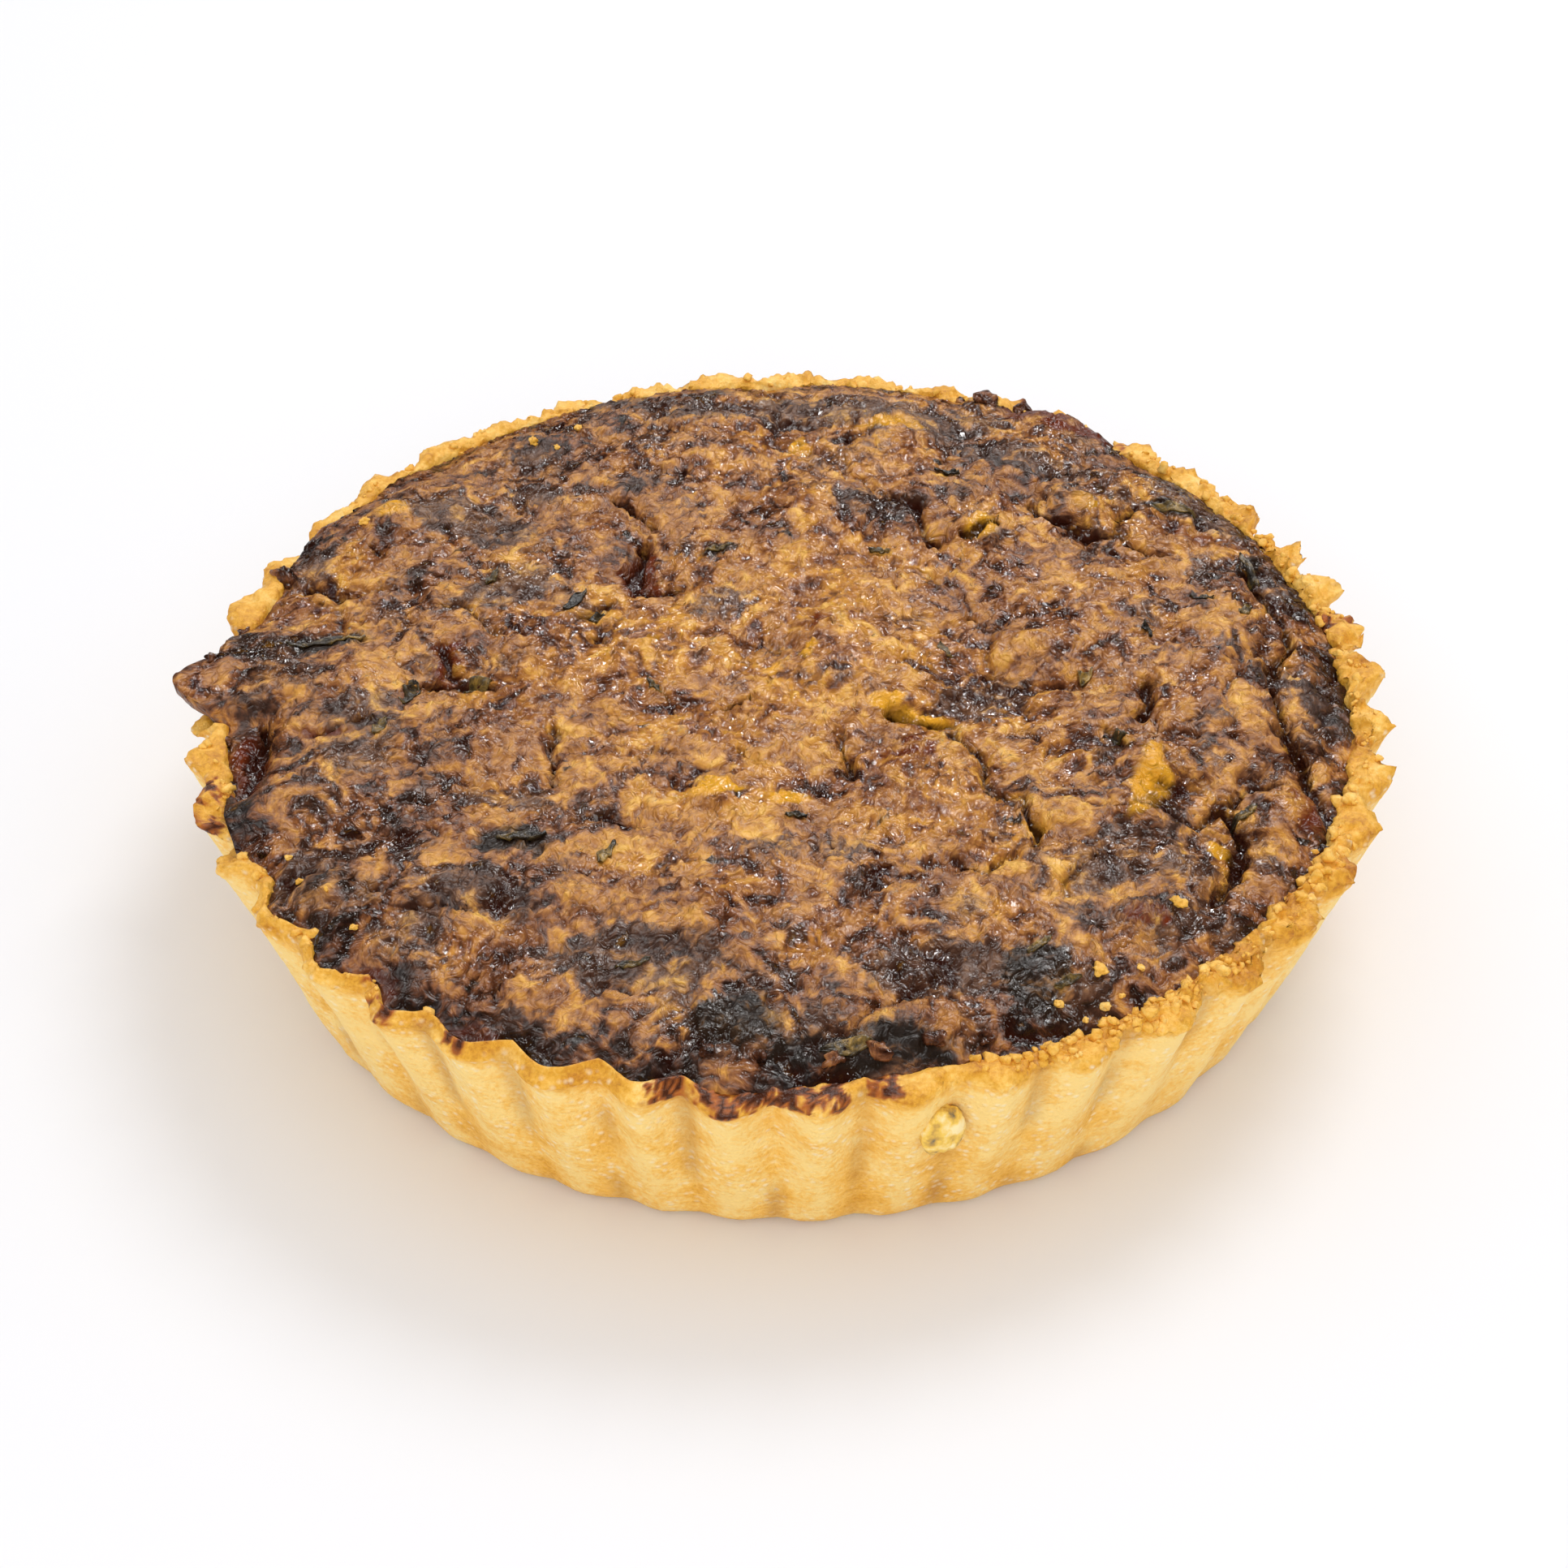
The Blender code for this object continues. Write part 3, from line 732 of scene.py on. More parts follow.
@dataclass
class Filling(Piece):
    """The browned filling, down to just under the rim."""

    rings: int = 154
    lip_drop: float = 0.0056
    edge_drop: float = 0.0022
    overflow_lift: float = 0.0042
    overflow_thickness: float = 0.0026
    crown: float = 0.0054
    crown_sharpness: float = 10
    even_radius: float = 0.1178
    floor_radius: float = 0.1160
    floor_height: float = 0.0385

    def shape(self, work: bmesh.types.BMesh) -> None:
        """Make a square grid, which is drawn round later, with a skirt and a flat underside."""
        bmesh.ops.create_grid(work, x_segments=2 * self.rings, y_segments=2 * self.rings, size=1.0)
        loop = [edge for edge in work.edges if edge.is_boundary]
        for depth in (1.0, 2.0, 3.0):
            skirt = bmesh.ops.extrude_edge_only(work, edges=loop)["geom"]
            loop = [part for part in skirt if isinstance(part, bmesh.types.BMEdge) and part.is_boundary]
            for vertex in (part for part in skirt if isinstance(part, bmesh.types.BMVert)):
                vertex.co.z = -depth
        bmesh.ops.contextual_create(work, geom=loop)
        bmesh.ops.recalc_face_normals(work, faces=work.faces)

    def sculpt(self, spots: np.ndarray) -> tuple[np.ndarray, dict[str, np.ndarray]]:
        """Draw the grid round, then raise the dome with its lumps, cracks and pits."""
        a, b, skirt = spots.T
        share = np.maximum(np.abs(a), np.abs(b))
        safe = np.maximum(share, 1e-9)
        flat = np.where(np.abs(a) >= np.abs(b), b / safe * np.sign(a), a / safe * np.sign(b))
        angle = np.where(np.abs(a) >= np.abs(b), np.where(a > 0, 0.0, pi) + pi / 4 * flat,
                         np.where(b > 0, pi / 2, 3 * pi / 2) - pi / 4 * flat) % tau
        over = overflow_reach(angle)
        edge = CASE.inner(CASE.flute_angle(angle)) + 0.0004
        radius = share * (self.even_radius + (edge - self.even_radius + over) * share ** 12)
        x, y = radius * np.cos(angle), radius * np.sin(angle)
        level = CASE.rim_height - self.edge_drop
        level = level + (self.crown + self.edge_drop) * (1.0 - share ** self.crown_sharpness)
        level += (0.0015 * arc_share(angle, 100, 80) - 0.0012 * arc_share(angle, 243, 30)) * share ** 12
        level += self.overflow_lift * smooth_step(over / 0.0045) * share ** 8
        plan = np.stack([x, y, np.zeros(len(x))], axis=1) / MM

        surface = Surface(plan, share)
        relief, shares = surface.relief()
        z = level + relief * MM * (1.0 - 0.45 * smooth_step((share - 0.9) / 0.1))
        ring = np.rint(-skirt).astype(int)
        z = np.where(ring == 1, z - self.overflow_thickness, z)
        z = np.where(ring == 2, CASE.rim_height - self.lip_drop, z)
        z = np.where(ring == 3, self.floor_height, z)
        radius = radius + surface.sideways() * MM * (ring == 0) * smooth_step((1.0 - share) / 0.06)
        reach = np.where(ring == 1, radius - 0.0004, radius)
        reach = np.where(ring >= 2, self.floor_radius, reach)
        result = np.stack([np.cos(angle) * reach, np.sin(angle) * reach, z], axis=1)
        return result, shares


# Furrows in the top: start, end, half width, depth, in millimetres
FURROWS = (
    ((102, 30), (105, 12), 2.8, 1.8), ((105, 12), (100, -8), 2.8, 1.8),
    ((100, -8), (105, -34), 3.6, 2.8), ((105, -34), (103, -54), 3.8, 3.0),
    ((-108, -10), (-111, -34), 3.6, 3.2), ((87, -43), (88, -54), 3.0, 2.2),
    ((88, -54), (82, -72), 3.0, 2.2), ((81, -48), (99, -35), 3.0, 2.0),
    ((-33, 45), (-31, 29), 3.2, 2.4), ((-72, 9), (-71, -2), 3.2, 2.4),
    ((-38, 63), (-30, 54), 3.4, 2.6), ((-104, 37), (-93, 30), 3.4, 2.4),
    ((23, 66), (31, 47), 3.4, 2.4), ((52, 60), (66, 49), 3.4, 2.4),
    ((66, 49), (77, 59), 3.4, 2.4), ((75, -6), (71, -18), 3.4, 2.4),
    ((38, -29), (47, -52), 3.4, 2.4), ((12, -21), (13, -34), 3.4, 2.0),
    ((21, -13), (32, -17), 3.4, 2.6), ((-42, 20), (-40, 9), 3.4, 2.4),
    ((-48, -19), (-48, -35), 3.4, 2.2), ((-66, 20), (-62, 12), 3.4, 2.2),
    ((-12, -11), (-8, -30), 3.4, 1.8), ((32, -62), (44, -60), 3.4, 2.0),
    ((-60, -55), (-44, -60), 4.0, 1.6), ((45, -82), (52, -104), 4.5, 1.8),
)

# Lumps of vegetable, egg and cheese that stand up in the top: place, radius, height, in mm
LUMPS = (
    (63.5, 57, 9, 3.2), (42.5, 47.6, 7, 2.8), (74, -31, 7, 3.4), (69, -46, 7, 2.8),
    (25, 91, 9, 2.0), (-87, 58, 6, 2.0), (-15, -42, 5, 1.8), (68, -77, 6, 2.4),
    (72, 68, 6, 2.4), (-114, 46, 7, 3.2), (-88, 84, 8, 2.4), (49, 112, 7, 3.4),
    (62, 103, 8, 2.8), (22, -111, 9, 2.6), (-52, 9, 11, 2.0), (-92, -72, 10, 2.0),
    (5, 55, 13, 2.0), (8, 5, 13, 1.8), (-70, -20, 12, 1.8), (52, -45, 9, 2.2),
    (52, 10, 12, 1.8), (-15, 85, 12, 1.6), (-20, -78, 13, 1.8), (88, 8, 10, 1.8),
)

# Cracks: half width and depth in mm, then the points that each runs through
CRACKS = (
    (0.9, 3.2, ((-39, 63.5), (-32, 56), (-30, 54))),
    (1.6, 3.0, ((-32, 46), (-34, 36), (-31, 28), (-25, 29))),
    (0.8, 2.4, ((-43, 19.6), (-38, 23))), (0.6, 1.6, ((-38, 23), (-42, 15), (-40, 9))),
    (0.7, 1.8, ((-76, 23), (-69, 23), (-65, 16), (-62.5, 12.6))), (0.6, 1.5, ((-60, 16), (-56, 11))),
    (1.6, 2.8, ((-73, 9), (-71, 2))), (1.2, 2.6, ((-104.5, 37), (-99, 33), (-93, 30))),
    (0.8, 2.0, ((-91.5, 48.5), (-88, 43))), (0.9, 2.2, ((-80, -3), (-62.5, -3))),
    (1.7, 4.0, ((-109, -12), (-109, -26), (-111, -34.5))), (1.0, 2.4, ((-116.7, -18.7), (-112, -31))),
    (0.7, 2.0, ((-49.5, -18.7), (-47.6, -24), (-49, -28), (-46.7, -35.5))),
    (0.6, 1.6, ((-28, -4.7), (-22.4, -15))), (0.6, 1.8, ((-14, -12), (-8.4, -8.4))),
    (0.6, 1.8, ((-11, -26), (-5.6, -31.7))), (0.8, 2.4, ((11, -21.5), (13, -28), (13, -34.5))),
    (0.9, 2.4, ((32.7, -20.5), (35.5, -26), (38.3, -29), (40, -40), (46.7, -43), (47.6, -52), (48, -57))),
    (1.0, 2.8, ((74.7, -5.6), (74.7, -11), (71, -17.7))),
    (0.8, 2.2, ((21.5, 66), (29, 59.7), (30.8, 54), (31.7, 45.7))),
    (0.9, 2.4, ((52, 59.7), (59.7, 53), (64.4, 48.5), (72.8, 49.5), (74.7, 56), (77.5, 59.7))),
    (0.9, 2.2, ((73.7, 47.6), (79.3, 43), (84, 43))),
    (0.9, 3.2, ((100.8, 37), (103, 28), (105.5, 20), (106, 12), (101, 2), (100.5, -8), (100.8, -18))),
    (1.4, 3.8, ((100.8, -18), (104, -28), (106.5, -38), (107, -50))),
    (0.8, 2.2, ((81, -50), (86.8, -41), (99, -34.5))),
    (1.3, 3.4, ((86.8, -43), (89.6, -52), (86, -61.6), (82, -72))),
    (0.7, 2.0, ((30.8, -59.7), (37.3, -66.3), (40, -61.6), (44, -59.7))),
    (0.6, 1.8, ((53, -72.8), (52.3, -69), (58, -64.4), (59.7, -61.6))),
    (0.9, 2.2, ((41, -105.5), (52, -103.6))), (1.4, 3.0, ((20.5, -13), (26, -16.5), (31.7, -17.7))),
    (1.0, 2.6, ((37, 46.7), (39, 44), (46.7, 49.5))), (0.5, 1.4, ((-51, 28), (-46.7, 28))),
    (0.8, 2.4, ((65, -22), (68, -26))), (0.8, 1.8, ((-88, -14), (-98, -17.5))),
)


@dataclass
class Surface:
    """Relief and tone of the filling's top at many places at once.

    Its heights and depths are in millimetres.
    """

    plan: np.ndarray
    share: np.ndarray
    ragged: np.ndarray = field(init=False)
    width: np.ndarray = field(init=False)
    cushion: float = 2.5
    crease_depth: float = 1.4
    knob: float = 0.55
    fold_depth: float = 0.5
    skin_heights: tuple[float, float] = (1.1, 0.45)
    wrinkle_height: float = 0.65
    pit_depth: float = 1.2

    def __post_init__(self) -> None:
        """Shift the places a little, so that what is drawn along lines gets ragged edges."""
        sway_x = Field(9, 21, 3, 0.6).at(self.plan)
        sway_y = Field(9, 31, 3, 0.6).at(self.plan)
        self.ragged = self.plan[:, :2] + 3.0 * np.stack([sway_x, sway_y], axis=1)
        self.width = 1.0 + 0.7 * Field(5, 41, 2).at(self.plan)

    def away_from(self, start: tuple, end: tuple) -> np.ndarray:
        """Distance of each place from a straight run, in millimetres."""
        first, run = np.array(start, float), np.subtract(end, start).astype(float)
        along = np.clip((self.ragged - first) @ run / (run @ run), 0.0, 1.0)
        return np.linalg.norm(self.ragged - first - along[:, None] * run, axis=1)

    def sideways(self) -> np.ndarray:
        """Small radial shift that undercuts lumps and skins, in millimetres."""
        return 0.35 * Field(3.1, 45, 2).at(self.plan)

    def skins(self, size_mm: float, steps: float, seed: int) -> np.ndarray:
        """Overlapping skins: long gentle rises that each end in a ragged step."""
        level = Field(size_mm, seed, 4, 0.55).at(self.plan) * steps
        part = level - np.floor(level)
        return part * smooth_step((1.0 - part) / 0.16)

    def relief(self) -> tuple[np.ndarray, dict[str, np.ndarray]]:
        """Work out the relief and the shares of each finish.

        Returns:
            Height in millimetres above the dome, and the attributes.
        """
        plan, share = self.plan, self.share
        swell = np.array([1.9 * noise.noise(spot / 26) + 0.7 * noise.noise(spot / 11)
                          for spot in map(Vector, plan)])
        furrow = np.zeros(len(plan))
        for start, end, half_width, depth in FURROWS:
            furrow = np.maximum(furrow, depth * np.exp(-(self.away_from(start, end) / half_width) ** 2))
        lump = np.zeros(len(plan))
        for x, y, radius, height in LUMPS:
            away = np.hypot(self.ragged[:, 0] - x, self.ragged[:, 1] - y) / radius
            lump = np.maximum(lump, height * smooth_step(1.35 - away))
        crack, depth_now = np.zeros(len(plan)), np.zeros(len(plan))
        for half_width, depth, points in CRACKS:
            for start, end in zip(points, points[1:]):
                away = self.away_from(start, end) / (0.90 * half_width * self.width)
                depth_now = np.maximum(depth_now, depth * np.exp(-away ** 2))
                crack = np.maximum(crack, np.exp(-(away / 1.2) ** 2) * min(1.0, depth / 2.6))
        shift = np.zeros((len(plan), 3))
        shift[:, :2] = self.ragged - plan[:, :2]
        big, big_gap, _ = cells(plan + 2.0 * shift, 24, 101)
        mid, mid_gap, mid_mark = cells(plan + 1.2 * shift, 9.5, 102)
        uneven = smooth_step(0.5 + 1.4 * Field(33, 104, 2).at(plan))
        uneven_small = smooth_step(0.5 + 1.6 * Field(13, 105, 2).at(plan))
        crease = np.exp(-(big_gap / 0.07) ** 2) * uneven
        fold = np.exp(-(mid_gap / 0.10) ** 2) * uneven_small
        wrinkle = Field(2.8, 51, 3, 0.62).pillows(plan + 0.5 * shift)
        pit, _, pit_mark = cells(plan, 6.0, 106)
        pit = smooth_step(1.0 - pit / 0.17) * (pit_mark > 0.62)
        relief = swell + lump - 0.5 * furrow - depth_now
        relief += self.cushion * (0.55 - big ** 2) - self.crease_depth * crease
        relief += self.knob * (0.5 - mid ** 2) - self.fold_depth * fold
        broad, small = self.skin_heights
        relief += broad * self.skins(12, 3.2, 111) + small * self.skins(5.5, 3.0, 117)
        relief += self.wrinkle_height * wrinkle - self.pit_depth * pit

        angle = np.arctan2(plan[:, 1], plan[:, 0])
        film = np.maximum(smooth_step(1.6 * arc_share(angle, 266, 66)), 0.35 * arc_share(angle, 12, 60))
        film = 0.30 + 0.70 * np.maximum(film, arc_share(angle, 195, 14))
        tone = 0.61 - 0.09 * smooth_step((share - 0.25) / 0.35)
        tone = tone - 0.34 * film * smooth_step((share - 0.90) / 0.08)
        tone = tone + 0.20 * Field(26, 71, 3).at(plan) + 0.27 * Field(9, 81, 3, 0.5).at(plan)
        # Lighter on knobs and wrinkle crests, darker in folds and creases: partly browning of high spots,
        # partly painted light and shade following the relief
        tone += 0.10 * (mid_mark - 0.5) + 0.12 * (0.5 - mid)
        tone += 0.16 * wrinkle - 0.12 * fold - 0.14 * crease
        # Cracks, creases, folds and pits darkened: partly juice pooled there and partly painted shade
        wet_and_shade = np.clip(crack + 0.55 * crease + 0.35 * fold + 0.8 * pit, 0.0, 1.0)
        purple = 0.12 + 1.05 * Field(14, 85, 4, 0.52).at(plan) + 0.28 * smooth_step((share - 0.3) / 0.6)
        purple += 0.30 * film * smooth_step((share - 0.89) / 0.07)
        leaf = smooth_step((Field(7, 91, 3).at(plan) - 0.50) / 0.08)
        gloss = 0.52 - 0.12 * smooth_step((share - 0.2) / 0.5)
        gloss += 0.70 * Field(14, 95, 3, 0.6).at(plan) + 0.5 * wet_and_shade
        marks = {"tone": tone, "wet_and_shade": wet_and_shade, "purple": purple, "leaf": 0.85 * leaf,
                 "yolk": np.zeros(len(plan)), "rust": np.zeros(len(plan)), "gloss": gloss}
        for name, patches in PATCHES.items():
            for x, y, long, wide, turn, strength in patches:
                along, across = cos(radians(turn)), sin(radians(turn))
                east, north = self.ragged[:, 0] - x, self.ragged[:, 1] - y
                away = np.hypot((east * along + north * across) / long,
                                (north * along - east * across) / wide)
                marks[name] = np.maximum(marks[name], strength * smooth_step((1.35 - away) / 0.7))
        return relief, marks


# Patches of another colour on the top, for each attribute: place, half length and half width
# in millimetres, turn in degrees, strength
PATCHES = {
    "yolk": (
        (26, -15, 7, 2.4, -20, 1.0), (19, -10, 4, 2.2, 10, 0.95), (-15, -42, 5, 2.4, 8, 1.0),
        (-1, -43, 4.5, 2.2, 5, 0.95), (72, -40, 11, 3.4, 72, 0.95), (42.5, 47, 5, 3.6, 30, 0.85),
        (24, 91, 8, 2.6, 0, 0.70), (-87, 58, 4, 3, 0, 0.8), (3.7, 84, 2.6, 3.6, 0, 0.8),
        (85, -55, 3, 1.6, 0, 0.9), (66, 57, 4, 3, 0, 0.6), (-3, -1, 2.4, 1.8, 0, 0.8),
        (4, 4, 2, 3, 0, 0.7), (-30, 8, 4, 2, 30, 0.6), (48, -52, 3, 2, 0, 0.6),
    ),
    "rust": (
        (68, -77.5, 4, 3, 0, 0.9), (-32, 36, 4, 9, 0, 0.9), (-72, 4, 4, 7, 0, 0.8),
        (-110, -25, 4, 11, 8, 0.75), (-80, -90, 7, 5, -40, 0.55), (-60, -103, 8, 3, -30, 0.55),
        (62, 100, 14, 5, -32, 0.9), (104, -38, 3, 10, -8, 0.6), (-96, -17, 7, 2, -10, 0.8),
        (8, 14, 6, 3, 40, 0.6), (90, 52, 5, 3, 0, 0.7), (24, -28, 7, 4, 30, 0.6),
    ),
    "leaf": (
        (-98, 12, 9, 3.4, 0, 0.9), (-88, -68, 9, 7, 20, 0.6), (-54, -55, 8, 3.5, 0, 0.9),
        (47, -92, 7, 9, 0, 0.85), (86, 60, 8, 3, -10, 0.85), (12, -111, 20, 4, 2, 0.9),
        (-10, -104, 9, 7, 0, 0.9), (-14, 42, 5, 2.4, 10, 0.8), (101, 40, 2.4, 7, -15, 0.9),
    ),
    "purple": (
        (40, -8, 12, 7, 20, 0.95), (-60, 30, 12, 7, 30, 0.9), (-70, 55, 16, 7, -30, 0.95),
        (5, 100, 40, 8, 0, 0.95), (-88, -20, 9, 16, 0, 0.8), (-30, -88, 20, 8, -8, 0.9),
        (28, -92, 16, 8, 10, 0.9), (92, 62, 14, 8, -40, 0.95), (55, 78, 22, 6, -25, 0.9),
        (62, -62, 14, 7, 50, 0.8), (108, -5, 5, 22, 0, 0.60), (-60, -70, 14, 7, -20, 0.85),
        (20, 60, 12, 6, 0, 0.8), (-14, 22, 9, 5, 20, 0.7),
    ),
}


@dataclass
class EggLeak(Piece):
    """The bead of egg on the front wall."""

    wall_radius: float = 0.1206
    angle: float = radians(283.3)
    height: float = 0.0345
    radius: float = 0.0052
    sink: float = 0.0012

    def shape(self, work: bmesh.types.BMesh) -> None:
        """Press a ball against the wall."""
        bmesh.ops.create_icosphere(work, subdivisions=5, radius=self.radius)
        for vertex in work.verts:
            dents = 0.22 * noise.noise(vertex.co / 0.0035) + 0.06 * noise.noise(vertex.co / 0.001)
            vertex.co *= 1.0 + dents
        out = self.wall_radius - self.sink
        place = Matrix.Translation((out * cos(self.angle), out * sin(self.angle), self.height))
        flatten = Matrix.Diagonal((0.46, 0.80, 1.16, 1.0))
        bmesh.ops.transform(work, matrix=place @ Matrix.Rotation(self.angle, 4, "Z") @ flatten,
                            verts=work.verts)


class Bed:
    """The surface of a finished piece, on which small things lie."""

    def __init__(self, piece: bpy.types.Object) -> None:
        """Sort the piece's faces, to find places on them."""
        ground = bmesh.new()
        ground.from_mesh(piece.data)
        self.faces = BVHTree.FromBMesh(ground)
        ground.free()

    def under(self, x: float, y: float) -> Vector:
        """The bed's highest spot at a place in plan, or its nearest spot if none is there."""
        hit = self.faces.ray_cast(Vector((x, y, 0.2)), Vector((0.0, 0.0, -1.0)))[0]
        return hit or self.faces.find_nearest(Vector((x, y, CASE.rim_height)))[0]


@dataclass
class Scraps(Piece):
    """Thin scraps draped over the filling, given by place, length, width and turn."""

    bed: Bed | None = None
    spots: tuple = ()
    columns: int = 14
    rows: int = 8
    thickness: float = 0.00030
    lift: float = 0.00025
    curl: float = 0.0010

    def shape(self, work: bmesh.types.BMesh) -> None:
        """Drape every scrap over the bed, then give them all a thickness."""
        for number, (x, y, length, width, turn) in enumerate(self.spots):
            sheet = bmesh.ops.create_grid(work, x_segments=self.columns, y_segments=self.rows, size=0.5)
            for vertex in sheet["verts"]:
                self.place(vertex, Vector((x, y)), Vector((length, width)), radians(turn), number)
        bmesh.ops.remove_doubles(work, verts=work.verts, dist=0.00002)
        bmesh.ops.recalc_face_normals(work, faces=work.faces)
        bmesh.ops.solidify(work, geom=work.faces[:], thickness=self.thickness)

    def place(self, vertex: bmesh.types.BMVert, middle: Vector, size: Vector, turn: float,
              number: int) -> None:
        """Put one vertex of a scrap on the bed.

        Args:
            vertex: The vertex, from -0.5 to 0.5 along and across the scrap.
            middle: Middle of the scrap in plan, in millimetres.
            size: Length and width, in millimetres.
            turn: Turn in plan.
            number: Tells one scrap from the next.
        """
        along, across = vertex.co.x, vertex.co.y
        wave = noise.noise(Vector((3.1 * along, 7.3 * number, 0.4)))
        ragged = noise.noise(Vector((9.0 * along, 5.1 * number, 2.0 * across)))
        reach = max(0.10, (1.0 - (2.0 * along) ** 2) ** 0.6 * (1.0 + 0.7 * wave) + 0.25 * ragged)
        flat = Vector((size.x * along, size.y * (across * reach + 0.25 * wave)))
        flat.rotate(Matrix.Rotation(turn, 2))
        spot = self.bed.under(*((middle + flat) * MM))
        edge = max(abs(2.0 * across), abs(2.0 * along) ** 3)
        rise = self.curl * max(0.0, noise.noise(Vector((2.0 * along, 2.0 * across, 3.7 * number)))) * edge
        fold = 0.0004 * noise.noise(Vector((6.0 * along, 4.0 * across, 1.9 * number)))
        vertex.co = spot + Vector((0.0, 0.0, self.lift + rise + fold))


# Leaves on the top: place, length and width in millimetres, and turn in degrees
LEAVES = (
    (-45.7, 24.3, 8, 2.6, 62), (-41, 19, 5, 1.8, 50), (-98, 12, 17, 2.4, 2), (-79, -6, 8, 4.0, 75),
    (-84, -18, 6, 2.4, 75), (-65, -3, 6, 2.2, 20), (-36, -60, 7, 2.2, 70), (-53, -54, 10, 2.8, 5),
    (47, -85, 6, 2.2, 40), (52, -94, 5, 2.0, 10), (90.5, -45, 7, 2.6, 40),
    (86, 60, 10, 2.6, -10), (101, 40, 12, 2.0, 105), (-15, 42, 6, 2.2, 10), (20, 42, 4, 1.8, 0),
    (88.7, 25, 5, 2.2, 0), (98, 21.5, 5, 2.0, 60), (33, 8, 5, 1.8, 110), (-28, -6, 5, 1.8, 120),
    (1, -49, 4, 1.8, 0), (66.3, -24.3, 5, 2.2, 0),
    (-30, -90, 7, 2.2, 10), (10, -111, 10, 2.4, 3),
    (-64, 32, 5, 2.0, 60), (36, 74, 6, 2.0, -20), (76, 12, 4, 1.8, 100), (62, -2, 5, 1.8, 60),
)


@dataclass
class Crumbs(Piece):
    """Small broken bits that lie on a bed, given by place, size and height share."""

    bed: Bed | None = None
    spots: tuple = ()
    seed: int = 5
    rise: float = 0.10
    detail: int = 3
    shares: tuple = (("brown", 0.30),)

    def sculpt(self, spots: np.ndarray) -> tuple[np.ndarray, dict[str, np.ndarray]]:
        """Leave the bits as they lie and give the finish's shares."""
        return spots, {name: np.full(len(spots), share) for name, share in self.shares}

    def shape(self, work: bmesh.types.BMesh) -> None:
        """Lay every bit on the bed, turned and dented in its own way."""
        chance = np.random.default_rng(self.seed)
        for x, y, size_mm, flat in self.spots:
            size = size_mm * MM
            bit = bmesh.ops.create_icosphere(work, subdivisions=self.detail, radius=size / 2)["verts"]
            start = Vector(chance.uniform(-9.0, 9.0, 3))
            for vertex in bit:
                coarse = noise.noise(vertex.co / (0.45 * size) + start)
                fine = noise.noise(vertex.co / (0.16 * size) + start)
                vertex.co *= 1.0 + 0.75 * coarse + 0.30 * fine
            shape = Matrix.Diagonal((1.0, chance.uniform(0.55, 1.0), flat, 1.0))
            turn = Matrix.Rotation(chance.uniform(0.0, tau), 4, "Z")
            tilt = Matrix.Rotation(chance.uniform(-0.3, 0.3), 4, "X")
            spot = self.bed.under(x * MM, y * MM) + Vector((0.0, 0.0, self.rise * size))
            place = Matrix.Translation(spot)
            bmesh.ops.transform(work, matrix=place @ turn @ tilt @ shape, verts=bit)


# Pastry bits on the filling: place, size in mm, and how high for its width
PALE_BITS = (
    (-93.8, 56, 2.4, 0.6), (-48, 96.6, 2.2, 0.6), (-58, 89.6, 2.4, 0.6), (-52.7, 86, 1.6, 0.7),
    (50, -98, 1.8, 0.7), (55, -101, 1.4, 0.7), (58.8, -98.5, 2.0, 0.8), (62, -96, 1.2, 0.8),
    (65, 105, 4.6, 0.7), (71, 101, 2.6, 0.6), (58.6, 112.5, 2.0, 0.7), (74.7, -73.7, 3.4, 0.6),
    (58, -91.5, 3.2, 0.6), (66, -90, 1.6, 0.8), (-99, -55, 1.4, 0.7), (-96, -62, 1.8, 0.7),
    (-90, -68, 1.2, 0.8), (-84, -77, 1.6, 0.7), (104, -52, 1.6, 0.8), (108, -44, 1.2, 0.8),
)


def rim_bits() -> tuple:
    """Crumbs torn from the rim: place, size in mm and height share for each."""
    chance = np.random.default_rng(23)
    spots = []
    arcs = ((286, 345, 110), (290, 316, 70), (-14, 62, 90), (64, 150, 60), (186, 236, 50))
    for first, last, count in arcs:
        for turn in np.radians(chance.uniform(first, last, count)):
            radius = chance.uniform(116.4, 122.6)
            size_mm = 0.9 + 2.4 * chance.random() ** 2
            spots.append((radius * cos(turn), radius * sin(turn), size_mm, chance.uniform(0.5, 0.9)))
    return tuple(spots)


# Burnt bits at the edge of the filling: place, size in mm, and how high for its width
BURNT_BITS = (
    (49.5, 116.5, 6.0, 0.6), (57, 111, 5.0, 0.6), (69, 105, 4.0, 0.6), (43, 118, 3.4, 0.6),
    (116.5, 24.7, 4.4, 0.5), (117.6, 14, 2.6, 0.5), (76, -95, 3.6, 0.5), (111, -52, 4.2, 0.6),
    (7.5, -113, 3.8, 0.6), (16, -112, 4.6, 0.6), (26, -110, 4.2, 0.6), (36, -107, 4.0, 0.6),
    (-6, -112, 3.4, 0.5), (-16, -111, 3.6, 0.5), (-117, 22, 3.2, 0.6), (-122, 10, 3.0, 0.6),
    (-114, 44, 7.0, 0.55), (-117, -14, 4.0, 0.5), (-115, -24, 3.4, 0.5), (-104, -52, 2.6, 0.6),
)


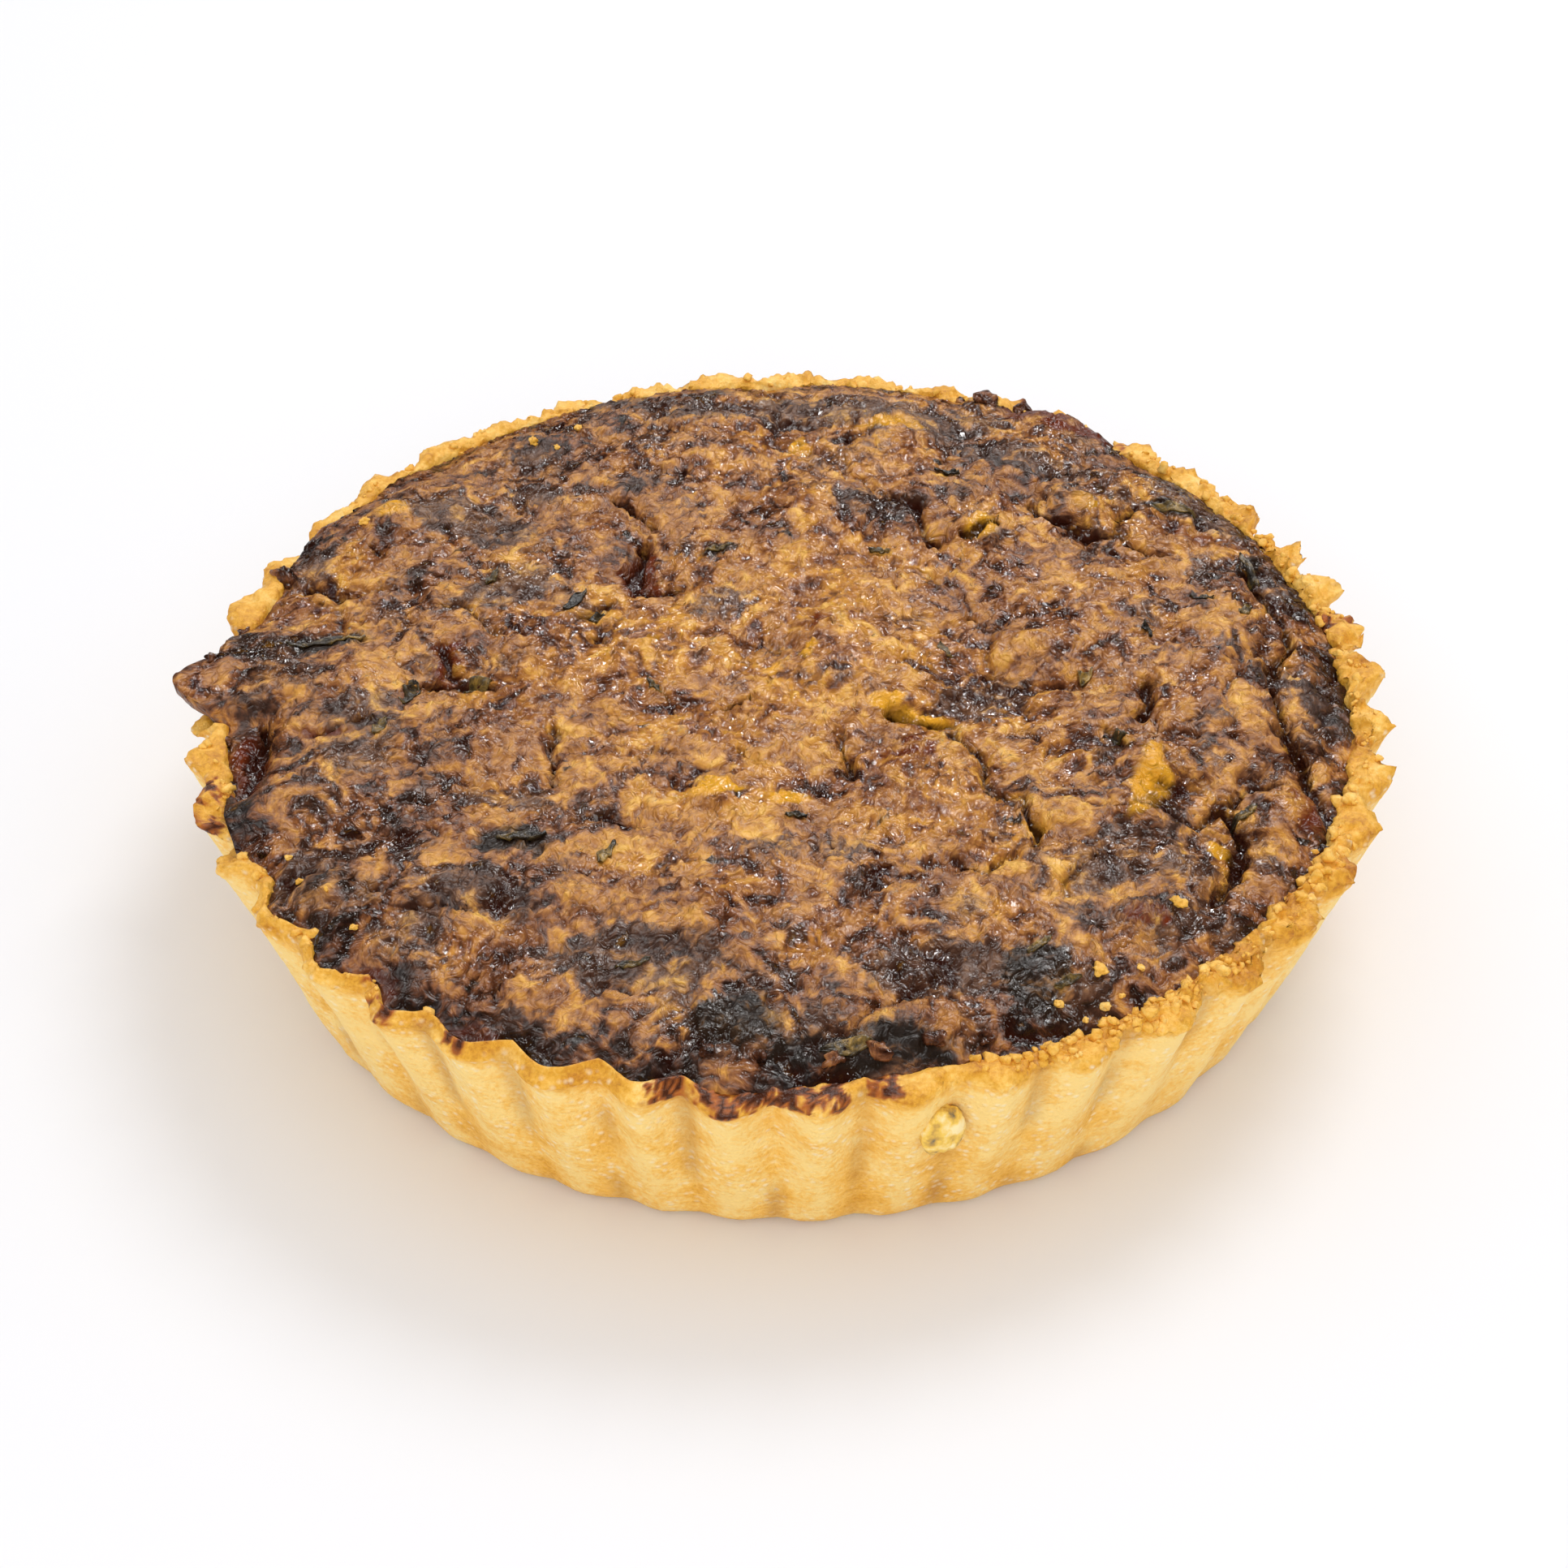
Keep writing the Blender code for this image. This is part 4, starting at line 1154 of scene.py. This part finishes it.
@dataclass
class Studio:
    """Floor, light and camera."""

    target: Vector = field(default_factory=lambda: Vector((-0.0012, 0.0280, 0.0)))
    distance: float = 0.768
    elevation: float = radians(39.09)
    roll: float = -0.007
    lens: float = 78.3
    floor_size: float = 6.0
    room_light: float = 0.89
    # Name, place, width and power of each lamp, and whether it lights more than gloss
    soft_boxes: tuple = (("top soft box", (0.45, 0.75, 1.30), 0.75, 8.0, True),
                         ("front soft box", (-0.15, -1.25, 0.75), 0.80, 4.3, True),
                         ("back gleam", (0.35, 1.05, 1.00), 0.20, 10.0, False),
                         ("far left gleam", (-0.55, 0.90, 1.15), 0.18, 8.0, False),
                         ("left gleam", (-0.95, 0.20, 1.05), 0.16, 4.5, False),
                         ("right gleam", (0.95, 0.30, 1.10), 0.16, 4.5, False))

    def floor(self) -> None:
        """Lay the pale floor."""
        work = bmesh.new()
        bmesh.ops.create_grid(work, x_segments=4, y_segments=4, size=self.floor_size)
        mesh = bpy.data.meshes.new("floor")
        work.to_mesh(mesh)
        work.free()
        mesh.materials.append(StudioFloor().material())
        item = bpy.data.objects.new("floor", mesh)
        bpy.context.scene.collection.objects.link(item)

    def lights(self) -> None:
        """Hang the soft boxes and light the room evenly."""
        for name, place, size, power, diffuse in self.soft_boxes:
            lamp = bpy.data.lights.new(name, "AREA")
            lamp.shape = "DISK"
            lamp.size = size
            lamp.energy = power
            item = bpy.data.objects.new(name, lamp)
            item.location = place
            item.rotation_euler = (-Vector(place)).to_track_quat("-Z", "Y").to_euler()
            item.visible_diffuse = diffuse
            item.visible_glossy = name != "front soft box"
            bpy.context.scene.collection.objects.link(item)
        world = bpy.data.worlds.new("bright room")
        world.use_nodes = True
        background = world.node_tree.nodes["Background"]
        background.inputs["Color"].default_value = linear_colour("#ffffff")
        background.inputs["Strength"].default_value = self.room_light
        world.cycles_visibility.glossy = False
        bpy.context.scene.world = world
        bpy.context.scene.view_settings.view_transform = "Standard"

    def camera(self) -> None:
        """Set the camera at the photograph's viewing angle."""
        lens = bpy.data.cameras.new("camera")
        lens.lens = self.lens
        lens.sensor_width = 36.0
        item = bpy.data.objects.new("camera", lens)
        back = Vector((0.0, -cos(self.elevation), sin(self.elevation)))
        item.location = self.target + self.distance * back
        look = (-back).to_track_quat("-Z", "Y").to_matrix().to_4x4() @ Matrix.Rotation(self.roll, 4, "Z")
        item.rotation_euler = look.to_euler()
        bpy.context.scene.collection.objects.link(item)
        bpy.context.scene.camera = item

    def build(self) -> None:
        """Set up the whole studio."""
        self.floor()
        self.lights()
        self.camera()


def main() -> None:
    """Build the quiche and the studio round it."""
    logging.basicConfig(level=logging.INFO, format="%(name)s %(message)s")
    crust = Bed(Crust("crust_fine", Slot.PASTRY, BakedShortcrust(), ("crust",)).build())
    filling = Bed(Filling("filling_fine", Slot.FILLING, BrownedCustard(), ("filling",)).build())
    Scraps("leaves", Slot.FILLING, BakedGreens(), bed=filling, spots=LEAVES).build()
    Crumbs("pastry_crumbs", Slot.PASTRY, BakedShortcrust(), bed=filling, spots=PALE_BITS).build()
    Crumbs("rim_crumbs", Slot.PASTRY, BakedShortcrust(), bed=crust, spots=rim_bits(), detail=2).build()
    Crumbs("burnt_bits", Slot.FILLING, BrownedCustard(), bed=filling, spots=BURNT_BITS, seed=8,
           rise=0.0, shares=(("tone", 0.16), ("gloss", 0.6))).build()
    EggLeak("egg_leak_fine", Slot.LEAK, SetEgg(), ("egg_leak",)).build()
    Studio().build()


if __name__ == "__main__":
    main()
